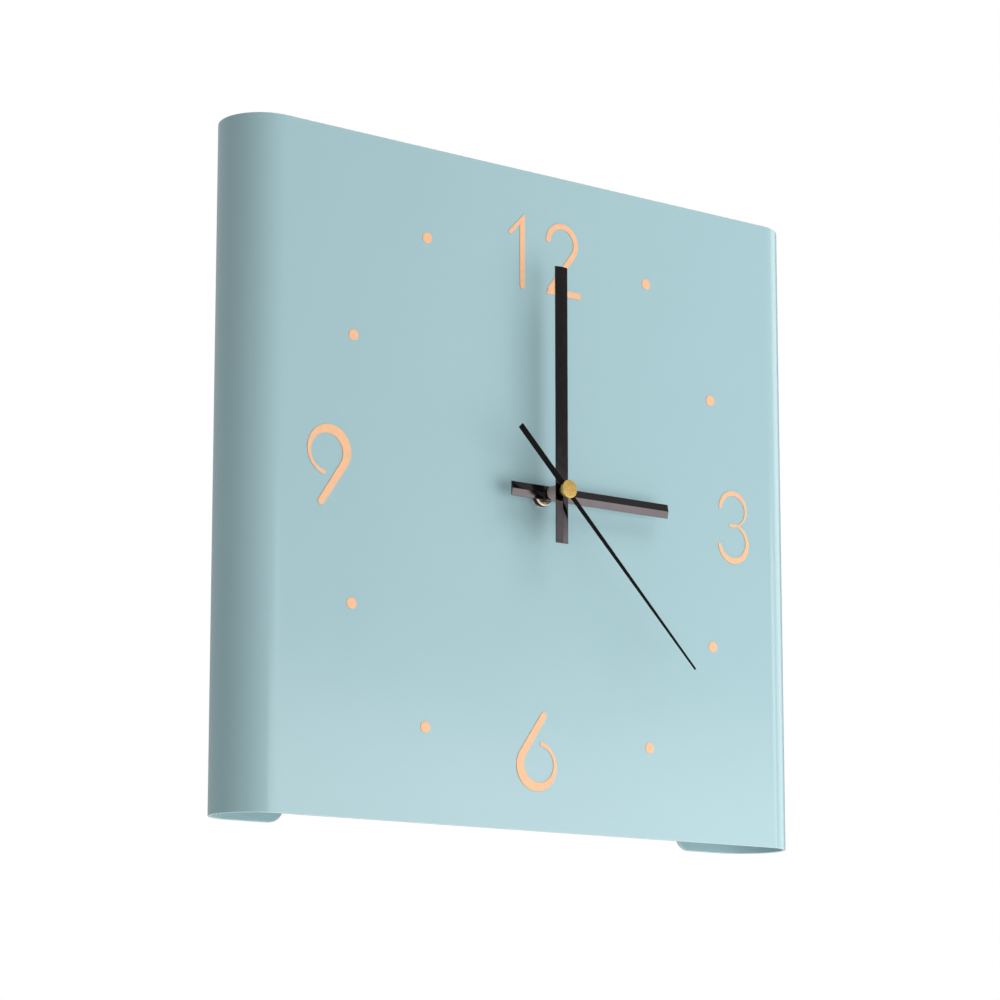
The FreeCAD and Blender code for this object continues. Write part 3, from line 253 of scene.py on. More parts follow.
def wound_copper(name):
    """Enamelled wire lying in close turns around the bobbin's axis, which is along X."""
    finish = Finish(name, (0.62, 0.24, 0.09), 0.3, 1.0, Coat_Weight=0.6)
    inputs = {"Vector": finish.place, "Scale": 1.6 / MM, "Distortion": 0.6}
    turns = finish.add("ShaderNodeTexWave", inputs, bands_direction="X").outputs[1]
    finish.mottle(finish.noise(1.5 * MM, 3), 0.12)
    finish.mottle(turns, 0.15)
    return finish.relief(turns, 0.06 * MM)


def laminate(name):
    """Circuit board: brown laminate with a faint weave, and copper tracks standing on it."""
    finish = Finish(name, (0.16, 0.10, 0.04), 0.38, IOR=1.55)
    weave = finish.add("ShaderNodeTexChecker", {"Vector": finish.place, "Scale": 1.2 / MM}).outputs[1]
    tracks = finish.add("ShaderNodeTexVoronoi", {"Vector": finish.place, "Scale": 0.35 / MM},
                        feature="DISTANCE_TO_EDGE").outputs["Distance"]
    lines = finish.reckon("LESS_THAN", tracks, 0.12)
    finish.tint(lines, (0.30, 0.17, 0.05))
    finish.mottle(weave, 0.04)
    return finish.relief(lines, 0.035 * MM)


def wrapped(name, start, end, band):
    """A cell's plain sleeve: graphite, a copper band at the positive end, grey metal at the other."""
    finish = Finish(name, (0.020, 0.021, 0.024), 0.25, 0.2, Coat_Weight=0.5, Coat_Roughness=0.12)
    along = finish.add("ShaderNodeSeparateXYZ", {0: finish.place}).outputs["X"]
    past = finish.reckon("GREATER_THAN", along, end - band)
    before = finish.reckon("LESS_THAN", along, start)
    finish.tint(past, (0.62, 0.30, 0.10))
    finish.tint(before, (0.45, 0.45, 0.45))
    finish.mottle(finish.noise(8 * MM, 3), 0.06)
    finish.polish(finish.noise(3 * MM, 4), 0.05)
    return finish.relief(finish.noise(2.5 * MM, 2), 0.015 * MM)


TEAL = (0.371, 0.552, 0.588)
FINISHES = {finish.name: finish.material for finish in (
    painted("panel_paint", TEAL),
    # A paler copy of the panel paint for the rounded sheet edges: painted highlight.
    painted("panel_edge_painted_highlight", paler(TEAL, 0.18)),
    inlay("mark_inlay"),
    lacquered("hand_lacquer", (0.082, 0.072, 0.074), 0.13, 1.0),
    lacquered("second_lacquer", (0.006, 0.0045, 0.0045), 0.45, Specular_IOR_Level=0.05),
    blasted_metal("brass_turned", (0.64, 0.43, 0.13), 0.38),
    turned_metal("nickel_plate", (0.80, 0.76, 0.74), 0.1, DIAL),
    # A dark brown copy of the nickel: painted shade on the nut's flank.
    turned_metal("nut_flank_painted_shade", (0.10, 0.045, 0.03), 0.3, DIAL),
    blasted_metal("collet_steel", (0.46, 0.385, 0.36), 0.6, 0.1),
    moulded("black_bush", (0.014, 0.013, 0.013), 0.45),
    moulded("case_plastic", (0.020, 0.020, 0.021), 0.42),
    moulded("plate_plastic", (0.72, 0.70, 0.64), 0.4),
    moulded("gear_plastic", (0.78, 0.76, 0.68), 0.33, 0.15 * MM),
    rubber("gasket_rubber"),
    turned_metal("arbor_steel", (0.52, 0.52, 0.53), 0.2, DIAL, depth=0.002 * MM),
    blasted_metal("magnet", (0.16, 0.15, 0.16), 0.38),
    rolled_metal("lamination_steel", (0.50, 0.49, 0.47), 0.32, (12, 12, 1)),
    wound_copper("copper_wire"),
    moulded("bobbin_plastic", (0.55, 0.52, 0.44), 0.42, 0.15 * MM),
    laminate("board_laminate"),
    rolled_metal("crystal_can", (0.66, 0.66, 0.64), 0.2, (8, 1, 1)),
    moulded("chip_resin", (0.010, 0.010, 0.012), 0.22, 0.8 * MM),
    rolled_metal("contact_metal", (0.72, 0.70, 0.64), 0.24, (1, 1, 12)),
    wrapped("battery_wrap", start=-23.5 * MM, end=24.5 * MM, band=11 * MM),
)}


# ---- mesh tools -------------------------------------------------------------------------------

SLIVER = 0.004 * MM  # an edge shorter than this is taken out after a bevel
WELD = 1e-6  # points closer than this are one
SAME_PLANE = math.radians(0.3)  # faces that bend less than this are one


def from_bmesh(name, bm):
    """A new object from a bmesh, with its faces turned outwards."""
    bmesh.ops.recalc_face_normals(bm, faces=bm.faces)
    mesh = bpy.data.meshes.new(name)
    bm.to_mesh(mesh)
    bm.free()
    piece = bpy.data.objects.new(name, mesh)
    bpy.context.scene.collection.objects.link(piece)
    return piece


def applied(piece):
    """Make the result of the piece's modifiers its own mesh."""
    graph = bpy.context.evaluated_depsgraph_get()
    mesh = bpy.data.meshes.new_from_object(piece.evaluated_get(graph))
    old = piece.data
    piece.modifiers.clear()
    piece.data = mesh
    bpy.data.meshes.remove(old)


def combined(piece, tool, operation):
    """Cut the tool out of the piece, or add it, and use the tool up."""
    modifier = piece.modifiers.new(operation, "BOOLEAN")
    modifier.operation, modifier.object, modifier.solver = operation, tool, "EXACT"
    applied(piece)
    bpy.data.objects.remove(tool)


def eased(piece, width, segments=3, angle=32.0, flat=True):
    """Round the piece's sharp edges over and shade it smooth; flat keeps its large faces flat."""
    for polygon in piece.data.polygons:
        polygon.use_smooth = True
    bevel = piece.modifiers.new("ease", "BEVEL")
    bevel.width, bevel.segments, bevel.limit_method = width, segments, "ANGLE"
    bevel.angle_limit = math.radians(angle)
    bevel.harden_normals = True
    # A second material goes on the rounded edges; on the panel it is the paler paint, a painted highlight.
    bevel.material = 1 if len(piece.data.materials) > 1 else -1
    applied(piece)
    if flat:
        bm = bmesh.new()
        bm.from_mesh(piece.data)
        bmesh.ops.dissolve_degenerate(bm, dist=SLIVER, edges=bm.edges)
        bm.to_mesh(piece.data)
        bm.free()
        weighted = piece.modifiers.new("flat", "WEIGHTED_NORMAL")
        weighted.mode, weighted.weight = "FACE_AREA", 100
        applied(piece)


def node_copy(name, node):
    """A new mesh with a CAD node's shape, welded and without the lines across its flat faces."""
    bm = bmesh.new()
    bm.from_mesh(frame["nodes"][node].data)
    bmesh.ops.remove_doubles(bm, verts=bm.verts, dist=WELD)
    bmesh.ops.dissolve_limit(bm, angle_limit=SAME_PLANE, verts=bm.verts, edges=bm.edges)
    return from_bmesh(name, bm)


def prism(name, outline, front, rear):
    """A flat outline of (x, z) points, given depth from front to rear along Y."""
    bm = bmesh.new()
    face = bm.faces.new([bm.verts.new((x, front, z)) for x, z in outline])
    moved = bmesh.ops.extrude_face_region(bm, geom=[face])["geom"]
    bmesh.ops.translate(bm, verts=[v for v in moved if isinstance(v, bmesh.types.BMVert)],
                        vec=INWARD * (rear - front))
    return from_bmesh(name, bm)


def polar(centre, radius, degrees):
    """The point that far from the centre, at an angle from +X towards +Z."""
    angle = math.radians(degrees)
    return centre[0] + radius * math.cos(angle), centre[1] + radius * math.sin(angle)


def arc(centre, radius, start, end, steps):
    """Points along an arc, with its angles in degrees from +X towards +Z."""
    return [polar(centre, radius, start + (end - start) * step / steps) for step in range(steps + 1)]


def circle(centre, radius, steps=64):
    """Points round a full circle."""
    return arc(centre, radius, 0, 360 - 360 / steps, steps - 1)


def loft(name, rings, closed=False):
    """A skin over rings of equal length: closed on itself, or with its two ends capped."""
    bm = bmesh.new()
    loops = [[bm.verts.new(point) for point in ring] for ring in rings]
    following_loops = loops[1:] + loops[:1] if closed else loops[1:]
    for one, other in zip(loops, following_loops):
        for index in range(len(one)):
            following = (index + 1) % len(one)
            bm.faces.new((one[index], one[following], other[following], other[index]))
    if not closed:
        bm.faces.new(loops[0])
        bm.faces.new(loops[-1])
    return from_bmesh(name, bm)


def softened(corners, radius, steps=4):
    """A closed profile with each corner replaced by a small curve."""
    most = 0.45  # of the way along either side
    points = []
    for index, corner in enumerate(corners):
        here = Vector(corner)
        before = Vector(corners[index - 1]) - here
        after = Vector(corners[(index + 1) % len(corners)]) - here
        reach = min(radius, most * before.length, most * after.length)
        start, end = here + before.normalized() * reach, here + after.normalized() * reach
        for step in range(steps + 1):
            t = step / steps
            points.append(start * (1 - t) ** 2 + here * 2 * t * (1 - t) + end * t ** 2)
    return points


def spokes(axis, across, segments):
    """Unit vectors evenly round an axis, starting from the one across it."""
    other = axis.cross(across)
    turns = [2 * math.pi * index / segments for index in range(segments)]
    return [across * math.cos(turn) + other * math.sin(turn) for turn in turns]


def lathe(name, profile, centre, segments=128):
    """A ring turned about an axis along Y: a closed profile of (radius, distance along the axis)."""
    rings = []
    for out in spokes(INWARD, RIGHT, segments):
        rings.append([centre + out * radius + INWARD * along for radius, along in profile])
    return smooth(loft(name, rings, closed=True))


def disc(name, profile, centre, axis=INWARD, across=RIGHT, segments=128):
    """A solid turned about an axis: an open profile of (radius, distance), closed by flat ends."""
    outs = spokes(axis, across, segments)
    rings = [[centre + axis * along + out * radius for out in outs] for radius, along in profile]
    return smooth(loft(name, rings))


def smooth(piece, angle=30.0):
    """Shade the piece smooth, apart from edges sharper than the angle in degrees."""
    for polygon in piece.data.polygons:
        polygon.use_smooth = True
    piece.data.set_sharp_from_angle(angle=math.radians(angle))
    return piece


def dress(piece, finish, body, slot, *nodes):
    """Give a finished piece its material and its body, and hide the CAD nodes it stands for. The slot is
    not used.
    """
    if not piece.data.materials:
        piece.data.materials.append(FINISHES[finish])
    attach(piece, body)
    if nodes:
        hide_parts(*nodes)


# ---- the bent panel ---------------------------------------------------------------------------

SHEET = 1.5 * MM
FLANGE_EDGE = 110 * MM
FLANGE_CORNER = 8 * MM
ROLL_STEPS = 64
SHAFT_HOLE_RADIUS = 4.15 * MM
KEYHOLE_X = 123 * MM
KEYHOLE_ENTRY = 4.5 * MM
KEYHOLE_SLOT = 2.25 * MM
KEYHOLE_RISE = 9 * MM


def panel_section(low, high):
    """Matching (outer, inner) points round the C-shaped section, as (x, y)."""
    roll = (high.y - low.y) / 2
    bend = high.x - roll
    middle = low.y + roll
    half = [((FLANGE_EDGE, high.y), (FLANGE_EDGE, high.y - SHEET))]
    for step in range(ROLL_STEPS + 1):
        angle = math.pi / 2 - math.pi * step / ROLL_STEPS
        out = (math.cos(angle), math.sin(angle))
        outer = (bend + roll * out[0], middle + roll * out[1])
        inner = (bend + (roll - SHEET) * out[0], middle + (roll - SHEET) * out[1])
        half.append((outer, inner))
    mirrored = [((-a[0], a[1]), (-b[0], b[1])) for a, b in reversed(half)]
    return half + mirrored


def keyhole(x, z):
    """A round entry with a narrower round-ended slot rising out of it."""
    meet = math.degrees(math.asin(KEYHOLE_SLOT / KEYHOLE_ENTRY))
    around = arc((x, z), KEYHOLE_ENTRY, 90 - meet, -270 + meet, 48)
    return around + arc((x, z + KEYHOLE_RISE), KEYHOLE_SLOT, 180, 0, 24)


def flange_corner(side, end_z, up):
    """What is cut away to round one corner of a flange."""
    edge = side * FLANGE_EDGE
    centre = (edge + side * FLANGE_CORNER, end_z - up * FLANGE_CORNER)
    start = 180 if side > 0 else 0
    turn = -90 if side * up > 0 else 90
    curve = arc(centre, FLANGE_CORNER, start, start + turn, 16)
    beyond = 2 * MM
    return curve + [
        (centre[0], end_z + up * beyond),
        (edge - side * beyond, end_z + up * beyond),
        (edge - side * beyond, centre[1]),
    ]


def panel():
    """The bent sheet, with its shaft hole, its two keyholes and its rounded flange corners."""
    low, high, _ = span("front_panel")
    rings = []
    for outer, inner in panel_section(low, high):
        rings.append([(*outer, low.z), (*outer, high.z), (*inner, high.z), (*inner, low.z)])
    piece = loft("panel_sheet", rings)
    deep = 3 * MM
    shaft = prism("shaft_cut", circle((DIAL.x, DIAL.z), SHAFT_HOLE_RADIUS), low.y - MM, low.y + deep)
    combined(piece, shaft, "DIFFERENCE")
    back = (high.y - deep, high.y + MM)
    for side in (-1, 1):
        combined(piece, prism("keyhole_cut", keyhole(side * KEYHOLE_X, 0), *back), "DIFFERENCE")
        for end_z, up in ((low.z, -1), (high.z, 1)):
            corner = prism("corner_cut", flange_corner(side, end_z, up), *back)
            combined(piece, corner, "DIFFERENCE")
    # The second finish lies on the rounded edges as a painted highlight.
    for finish in ("panel_paint", "panel_edge_painted_highlight"):
        piece.data.materials.append(FINISHES[finish])
    eased(piece, 0.3 * MM, flat=False)
    dress(piece, "panel_paint", "clock_body", "panel_paint", "front_panel")


# ---- numerals and dots ------------------------------------------------------------------------

DOT_RADIUS = 2.5 * MM
# The dot's pillow shape: shares of its radius and of its height, from the panel outwards.
DOT_PILLOW = ((1, 0), (1, -0.5), (0.96, -0.78), (0.86, -0.92), (0.6, -0.99), (0.2, -1))


def numerals():
    """The five digits, with softened edges."""
    for name in ("one", "two", "three", "six", "nine"):
        piece = node_copy(f"inlaid_{name}", f"numeral_{name}")
        eased(piece, 0.14 * MM)
        dress(piece, "mark_inlay", "clock_body", "mark_inlay", f"numeral_{name}")


def dots():
    """Eight pillow-faced dots on the hour rays: four on a ring by the sides, four by the top and bottom."""
    low, high, middle = span("hour_dots")
    height = high.y - low.y
    level_ring = (high.x - middle.x - DOT_RADIUS) / math.cos(math.radians(30))
    upright_ring = (high.z - middle.z - DOT_RADIUS) / math.sin(math.radians(60))
    profile = [(DOT_RADIUS * wide, height * tall) for wide, tall in DOT_PILLOW]
    for hour in (1, 2, 4, 5, 7, 8, 10, 11):
        ring = upright_ring if hour % 6 in (1, 5) else level_ring
        x, z = polar((middle.x, middle.z), ring, 90 - 30 * hour)
        piece = disc(f"hour_dot_{hour}", profile, Vector((x, high.y, z)), segments=64)
        dress(piece, "mark_inlay", "clock_body", "mark_inlay", "hour_dots")


# ---- hands and hub ----------------------------------------------------------------------------

ON_DIAL = Vector((DIAL.x, 0, DIAL.z))
THREAD_RADIUS = 4.0 * MM
COLLET_EASE = 0.12 * MM
COLLETS = (
    # piece, CAD node, radius of the bore, body, slot
    ("second_collet", "second_hand_bush", 0.5 * MM, "second_arbor_body", "brass_turned"),
    ("minute_collet", "minute_hand_bush", 1.6 * MM, "minute_arbor", "collet_steel"),
    ("hour_collet", "hour_hand_bush", 2.5 * MM, "hour_arbor", "black_bush"),
    ("face_washer", "dial_washer", THREAD_RADIUS, "clock_body", "nickel_plate"),
)


def hands():
    """The three blades, with a fine round along their edges."""
    for name, body, finish in (
        ("hour_hand", "hour_arbor", "hand_lacquer"),
        ("minute_hand", "minute_arbor", "hand_lacquer"),
        ("second_hand", "second_arbor_body", "second_lacquer"),
    ):
        piece = node_copy(f"{name}_blade", name)
        eased(piece, 0.1 * MM, angle=20.0)
        dress(piece, finish, body, "hand_lacquer", name)


def button_cap():
    """The second hand's cap: a button with a rounded front edge and a small chamfer behind."""
    low, high, _ = span("second_hand_cap")
    radius = (high.x - low.x) / 2
    ease, chamfer, steps = 0.35 * MM, 0.15 * MM, 6
    profile = [(radius - chamfer, high.y), (radius, high.y - chamfer)]
    for step in range(steps + 1):
        angle = math.radians(90 / steps * step)
        profile.append((radius - ease + ease * math.cos(angle), low.y + ease - ease * math.sin(angle)))
    profile += [(0.5 * radius, low.y), (0.1 * radius, low.y)]
    cap = disc("button_cap", profile, ON_DIAL)
    dress(cap, "brass_turned", "second_arbor_body", "brass_turned", "second_hand_cap")


def collets():
    """The plain turned rings of the stack: each hand's bush, and the washer under the nut."""
    for name, node, bore, body, slot in COLLETS:
        low, high, middle = span(node)
        outer = (high.x - low.x) / 2
        corners = [(bore, low.y), (outer, low.y), (outer, high.y), (bore, high.y)]
        ring = lathe(name, softened(corners, COLLET_EASE), Vector((middle.x, 0, middle.z)))
        dress(ring, slot, body, slot, node)


def ring_nut():
    """The round nut: a broad front chamfer, plated faces and a flank painted dark brown as shade."""
    low, high, _ = span("dial_nut")
    outer, bore = (high.x - low.x) / 2, THREAD_RADIUS
    lead, chamfer, rear, flank = 0.3 * MM, 0.8 * MM, 0.25 * MM, 0.2 * MM
    corners = [(bore, low.y + lead), (bore + lead, low.y),
               (outer - chamfer, low.y), (outer, low.y + chamfer),
               (outer, high.y - rear), (outer - rear, high.y), (bore, high.y)]
    nut = lathe("ring_nut", softened(corners, rear), ON_DIAL)
    for finish in ("nickel_plate", "nut_flank_painted_shade"):
        nut.data.materials.append(FINISHES[finish])
    # Faces on the outer flank get the dark copy: painted shade round the nut.
    for polygon in nut.data.polygons:
        out = Vector((polygon.center.x - DIAL.x, polygon.center.z - DIAL.z)).length
        polygon.material_index = 1 if out > outer - flank else 0
    dress(nut, "nickel_plate", "clock_body", "nickel_plate", "dial_nut")


def bushing():
    """The brass tube through the panel, with its flange behind the gasket."""
    low, high, _ = span("threaded_bushing")
    seat = span("rubber_gasket")[1].y
    flange, barrel, tail, bore = (high.x - low.x) / 2, THREAD_RADIUS, 4.5 * MM, 2.55 * MM
    lead, chamfer, thick = 0.3 * MM, 0.4 * MM, MM
    corners = [(bore, low.y + lead), (bore + lead, low.y),
               (barrel - chamfer, low.y), (barrel, low.y + chamfer),
               (barrel, seat - thick), (flange, seat - thick), (flange, seat),
               (tail, seat), (tail, high.y), (bore, high.y)]
    piece = lathe("bushing", softened(corners, 0.1 * MM), ON_DIAL)
    dress(piece, "brass_turned", "clock_body", "brass_turned", "threaded_bushing")


# ---- the movement, as it is seen from behind ----------------------------------------------------

def slab(name, low, high):
    """A rectangular block between two corners."""
    outline = [(low[0], low[2]), (high[0], low[2]), (high[0], high[2]), (low[0], high[2])]
    return prism(name, outline, low[1], high[1])


def movement_case():
    """The tray's outside, with two snap windows and five finger grooves sunk in each side wall."""
    low, high, middle = span("movement_front_case")
    piece = node_copy("case_tray", "movement_front_case")
    skin = 0.5 * MM
    windows, half_window, window_front, window_rear = (-16, 14), 4, 5 * MM, 2.4 * MM
    grooves, first_groove, groove_pitch, groove_front, groove_rear = 5, -5.8, 2.4, 3 * MM, 4 * MM
    for side, wall in ((-1, low.x), (1, high.x)):
        start, end = sorted((wall - side * skin, wall + side * MM))
        for place in windows:
            window = ((start, high.y - window_front, middle.z + (place - half_window) * MM),
                      (end, high.y - window_rear, middle.z + (place + half_window) * MM))
            combined(piece, slab("window_cut", *window), "DIFFERENCE")
        for step in range(grooves):
            z = middle.z + (groove_pitch * step + first_groove) * MM
            groove = ((start, low.y + groove_front, z), (end, high.y - groove_rear, z + MM))
            combined(piece, slab("groove_cut", *groove), "DIFFERENCE")
    eased(piece, 0.22 * MM, 2)
    dress(piece, "case_plastic", "clock_body", "case_plastic", "movement_front_case")


def arrow(centre, radius, width, start, end):
    """A curved arrow outline that turns from one angle to the other, in degrees."""
    half, head = width / 2, 1.9 * width
    outer = arc(centre, radius + half, start, end, 24)
    inner = arc(centre, radius - half, end, start, 24)
    lead = end + math.copysign(math.degrees(head / radius), end - start)
    barb_out = polar(centre, radius + head / 2 + half / 2, end)
    tip = polar(centre, radius, lead)
    barb_in = polar(centre, radius - head / 2 - half / 2, end)
    return outer + [barb_out, tip, barb_in] + inner


def movement_cover():
    """The rear cover: a sunk ring and a turning arrow round the knob, a blank field and four ribs."""
    low, high, _ = span("movement_rear_cover")
    piece = node_copy("case_cover", "movement_rear_cover")
    knob = (KNOB.x, KNOB.z)
    sunk = (high.y - 0.35 * MM, high.y + MM)

    inside, outside = 5.7 * MM, 6.4 * MM
    corners = ((inside, sunk[0]), (outside, sunk[0]), (outside, sunk[1]), (inside, sunk[1]))
    ring = loft("ring_cut", [[(x, y, z) for x, z in circle(knob, radius)] for radius, y in corners],
                closed=True)
    combined(piece, ring, "DIFFERENCE")

    turning = arrow(knob, 8.4 * MM, 0.9 * MM, start=200, end=110)
    combined(piece, prism("arrow_cut", turning, *sunk), "DIFFERENCE")

    left, right, bottom, top = low.x + 4 * MM, low.x + 30 * MM, high.z - 17 * MM, high.z - 4 * MM
    field = softened([(left, bottom), (right, bottom), (right, top), (left, top)], 2 * MM)
    combined(piece, prism("field_cut", field, *sunk), "DIFFERENCE")

    ribs, first_rib, rib_pitch, rib_width = 4, 6, 3, 1.2 * MM
    for step in range(ribs):
        x = low.x + (first_rib + rib_pitch * step) * MM
        rib = ((x, sunk[0], low.z + 3 * MM), (x + rib_width, sunk[1], low.z + 8 * MM))
        combined(piece, slab("rib_cut", *rib), "DIFFERENCE")
    eased(piece, 0.15 * MM, 2)
    dress(piece, "case_plastic", "clock_body", "case_plastic", "movement_rear_cover")


def fluted_knob():
    """The setting knob: a fluted rim, a dished rear face and a rounded front edge."""
    low, high, _ = span("setting_knob")
    flutes, depth, steps = 24, 0.35 * MM, 8
    radius = (high.x - low.x) / 2
    profile = (
        (radius - 0.5 * MM, low.y),
        (radius, low.y + 0.4 * MM),
        (radius, high.y - 0.6 * MM),
        (radius - 0.2 * MM, high.y - 0.2 * MM),
        (radius - 0.7 * MM, high.y),
        (radius - 1.5 * MM, high.y),
        (radius - 2.0 * MM, high.y - 0.5 * MM),
        (0.4 * MM, high.y - 0.8 * MM),
    )
    rings = []
    for reach, y in profile:
        on_rim = reach > radius - MM
        ring = []
        for index in range(flutes * steps):
            angle = 2 * math.pi * index / (flutes * steps)
            scallop = depth * abs(math.sin(flutes * angle / 2)) if on_rim else depth
            fluted = reach - depth + scallop
            ring.append(Vector((KNOB.x + fluted * math.cos(angle), y, KNOB.z + fluted * math.sin(angle))))
        rings.append(ring)
    piece = smooth(loft("fluted_knob", rings), 40)
    dress(piece, "case_plastic", "setting_arbor", "case_plastic", "setting_knob")


def cell():
    """The AA cell: a sleeve with rolled ends, a crimped rim, an insulating ring and the raised nub."""
    low, high, middle = span("battery")
    radius, nub = (high.z - low.z) / 2, 2.75 * MM
    shoulder = high.x - MM
    roll, dip, flat_end = 0.6 * MM, 0.3 * MM, low.x + 0.02 * MM
    nub_height, nub_ease = 0.2 * MM, 0.25 * MM
    profile = [
        (4.6 * MM, flat_end),
        (4.9 * MM, low.x + dip),
        (6.1 * MM, low.x + dip),
        (6.4 * MM, flat_end),
        (radius - roll, low.x),
        (radius - 0.2 * roll, low.x + 0.3 * roll),
        (radius, low.x + roll),
        (radius, shoulder - roll),
        (radius - 0.2 * roll, shoulder - 0.3 * roll),
        (radius - roll, shoulder),
        (radius - 1.5 * roll, shoulder - dip),
        (nub + 0.9 * MM, shoulder - dip),
        (nub + dip, shoulder),
        (nub, shoulder + nub_height),
        (nub, high.x - nub_ease),
        (nub - nub_ease, high.x),
    ]
    piece = disc("dry_cell", profile, Vector((0, middle.y, middle.z)), RIGHT, INWARD)
    dress(piece, "battery_wrap", "clock_body", "battery_wrap", "battery")


# ---- battery contacts and gasket ----------------------------------------------------------------

LEAF = 0.4 * MM
LEAF_EASE = 0.08 * MM
STRIP_DEPTH = 0.8 * MM
BAY_HEIGHT = 11 * MM
SPRING_WIRE = 0.28 * MM
SPRING_TURNS = 3


def coil(name, centre, start, end, wire, turns, steps=36, sides=12):
    """A conical wire spring along X; start and end are (x, radius) of its wire's middle."""
    path = []
    for index in range(turns * steps + 1):
        t = index / (turns * steps)
        angle = 2 * math.pi * turns * t
        reach = start[1] + (end[1] - start[1]) * t
        x = start[0] + (end[0] - start[0]) * t
        path.append(Vector((x, centre.y + reach * math.cos(angle), centre.z + reach * math.sin(angle))))
    rings = []
    for index, point in enumerate(path):
        ahead = (path[min(index + 1, len(path) - 1)] - path[max(index - 1, 0)]).normalized()
        side = ahead.cross(RIGHT).normalized()
        lift = side.cross(ahead)
        ring = []
        for corner in range(sides):
            turn = math.radians(360 / sides * corner)
            ring.append(point + (side * math.cos(turn) + lift * math.sin(turn)) * wire)
        rings.append(ring)
    return smooth(loft(name, rings), 60)


def contact_plates():
    """A sprung leaf at each end of the cell, with a strip that runs on to the circuit board."""
    for end, side in (("negative", -1), ("positive", 1)):
        node = f"battery_contact_{end}"
        low, high, _ = span(node)
        wall = high.x if side > 0 else low.x
        near, far = sorted((wall, wall - side * LEAF))
        bay_top = low.z + BAY_HEIGHT
        strip_front = high.y - STRIP_DEPTH
        plate = slab(f"contact_{end}_plate", (near, low.y, low.z), (far, high.y, bay_top))
        strip = slab("strip", (near, strip_front, bay_top - MM), (far, high.y, high.z))
        combined(plate, strip, "UNION")
        if side > 0:
            tab = slab("tab", (low.x, strip_front, high.z - LEAF), (far, high.y, high.z))
            combined(plate, tab, "UNION")
        eased(plate, LEAF_EASE, 2)
        dress(plate, "contact_metal", "clock_body", "contact_metal", node)


def contact_spring():
    """The negative contact's wound spring, narrowing towards the cell."""
    _, _, axis = span("battery")
    low, high, _ = span("battery_contact_negative")
    base = (low.x + LEAF + SPRING_WIRE, 3.4 * MM - SPRING_WIRE)
    tip = (high.x - SPRING_WIRE, 2.0 * MM - SPRING_WIRE)
    spring = coil("contact_spring", axis, base, tip, SPRING_WIRE, SPRING_TURNS)
    dress(spring, "contact_metal", "clock_body", "contact_metal", "battery_contact_negative")


def contact_dimple():
    """The raised spot on the positive contact that meets the cell's nub."""
    _, _, axis = span("battery")
    seat = span("battery_contact_positive")[1].x - LEAF
    profile = [(2.0 * MM, seat), (1.9 * MM, seat - 0.2 * MM),
               (1.4 * MM, seat - 0.34 * MM), (0.3 * MM, seat - 0.39 * MM)]
    dimple = disc("contact_dimple", profile, Vector((0, axis.y, axis.z)), RIGHT, INWARD, 48)
    dress(dimple, "contact_metal", "clock_body", "contact_metal", "battery_contact_positive")


def gasket():
    """The rubber pad between the panel and the movement."""
    piece = node_copy("gasket_pad", "rubber_gasket")
    eased(piece, 0.2 * MM, 2)
    dress(piece, "gasket_rubber", "clock_body", "gasket_rubber", "rubber_gasket")


# ---- carried-over CAD nodes -------------------------------------------------------------------

def carried_over():
    """Every CAD node that is still shown gets the procedural finish of its record slot."""
    for part in frame["record"]["subparts"]:
        shown = frame["nodes"][part["node"]]
        if not shown.hide_render:
            shown.data.materials.clear()
            shown.data.materials.append(FINISHES[part["material_slot"]])


# ---- studio -----------------------------------------------------------------------------------

SOFT_BOXES = (
    # light, centre, width, height, where it faces, radiance
    ("front_soft_box", (0.58, -0.94, -0.50), 1.4, 0.87, (0, 1, 0), 2.22),
    ("left_flap", (0.2, -0.94, 0.01), 0.26, 0.12, (0, 1, 0), 1.2),
    ("right_flap", (1.70, -0.98, -0.01), 0.3, 0.5, (-1, 0.3, 0), 3.0),
    ("upper_soft_box", (0.3, -0.9, 1.0), 0.9, 0.7, (-0.3, 0.86, -1.1), 3.2),
    ("side_strip", (1.1, -0.05, -0.1), 0.5, 1.4, (-1, 0, 0), 1.4),
)
FLOOR_Z = -1.5
FLOOR_REACH = 12.0
FLOOR_GLOW = 0.34
CAMERA_PLACE = (-0.8173, -1.0882, -0.3875)
CAMERA_TILT = 9.249  # degrees above level
CAMERA_TURN = -37.138  # degrees from facing straight at the wall
LENS, SENSOR, SHIFT = 109.18, 36, 0.12
NEAREST, FARTHEST = 0.01, 100


def soft_box(name, centre, width, height, facing, radiance):
    """A rectangular light of even brightness, unseen by the camera."""
    data = bpy.data.lights.new(name, "AREA")
    data.shape = "RECTANGLE"
    data.size, data.size_y = width, height
    data.energy = radiance * math.pi * width * height
    lamp = bpy.data.objects.new(name, data)
    bpy.context.scene.collection.objects.link(lamp)
    lamp.location = centre
    lamp.rotation_mode = "QUATERNION"
    lamp.rotation_quaternion = (-Vector(facing)).to_track_quat("Z", "Y")
    lamp.visible_camera = False


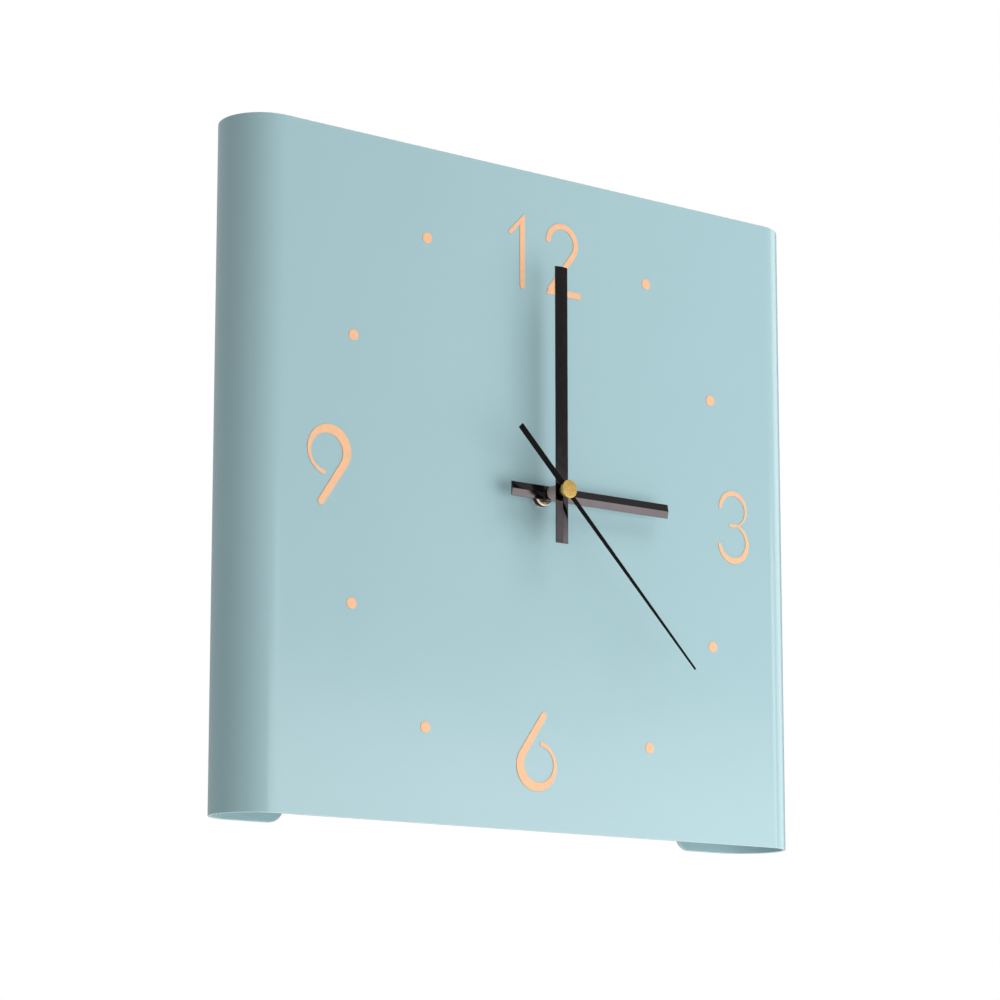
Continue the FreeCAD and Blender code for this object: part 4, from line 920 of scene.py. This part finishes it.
def room():
    """White behind everything for the camera; for the object a dim room with a lighter ceiling."""
    world = bpy.data.worlds.new("studio")
    world.use_nodes = True
    tree = world.node_tree
    tree.nodes.clear()
    direction = tree.nodes.new("ShaderNodeTexCoord").outputs["Generated"]
    axes = tree.nodes.new("ShaderNodeSeparateXYZ")
    tree.links.new(direction, axes.inputs[0])

    def zone(axis, start, end, low, high):
        """Brightness that eases from low to high between two heights on an axis of the sky."""
        ease = tree.nodes.new("ShaderNodeMapRange")
        ease.interpolation_type = "SMOOTHSTEP"
        tree.links.new(axes.outputs[axis], ease.inputs["Value"])
        for socket, value in (("From Min", start), ("From Max", end), ("To Min", low), ("To Max", high)):
            ease.inputs[socket].default_value = value
        return ease.outputs[0]

    total = tree.nodes.new("ShaderNodeMath")
    total.operation = "ADD"
    tree.links.new(zone("Z", start=0.15, end=0.6, low=0.17, high=0.42), total.inputs[0])
    tree.links.new(zone("Y", start=0.4, end=0.9, low=0.0, high=0.25), total.inputs[1])
    ambient, white = tree.nodes.new("ShaderNodeBackground"), tree.nodes.new("ShaderNodeBackground")
    tree.links.new(total.outputs[0], ambient.inputs["Strength"])
    ambient.inputs["Color"].default_value = white.inputs["Color"].default_value = (1, 1, 1, 1)
    path, mix = tree.nodes.new("ShaderNodeLightPath"), tree.nodes.new("ShaderNodeMixShader")
    tree.links.new(path.outputs["Is Camera Ray"], mix.inputs[0])
    tree.links.new(ambient.outputs[0], mix.inputs[1])
    tree.links.new(white.outputs[0], mix.inputs[2])
    output = tree.nodes.new("ShaderNodeOutputWorld")
    tree.links.new(mix.outputs[0], output.inputs["Surface"])
    bpy.context.scene.world = world


def studio():
    """The room, its lights, and a pale floor whose faint glow lights the undersides."""
    room()
    for light in SOFT_BOXES:
        soft_box(*light)
    bm = bmesh.new()
    bmesh.ops.create_grid(bm, x_segments=8, y_segments=8, size=FLOOR_REACH)
    floor = from_bmesh("studio_floor", bm)
    floor.location.z = FLOOR_Z
    pale = Finish("pale_floor", (0.86, 0.86, 0.86), 0.7,
                  Emission_Color=(1, 1, 1, 1), Emission_Strength=FLOOR_GLOW)
    pale.mottle(pale.noise(0.6, 3), 0.01)
    floor.data.materials.append(pale.material)


def camera():
    """The eye of the photograph: left of the clock and below it."""
    data = bpy.data.cameras.new("camera")
    data.lens, data.sensor_width, data.shift_y = LENS, SENSOR, SHIFT
    data.clip_start, data.clip_end = NEAREST, FARTHEST
    eye = bpy.data.objects.new("camera", data)
    bpy.context.scene.collection.objects.link(eye)
    eye.location = CAMERA_PLACE
    eye.rotation_euler = (math.radians(90 + CAMERA_TILT), 0, math.radians(CAMERA_TURN))
    bpy.context.scene.camera = eye


panel()
numerals()
dots()
hands()
button_cap()
collets()
ring_nut()
bushing()
movement_case()
movement_cover()
fluted_knob()
cell()
contact_plates()
contact_spring()
contact_dimple()
gasket()
carried_over()
studio()
camera()
bpy.context.scene.view_settings.view_transform = "Standard"
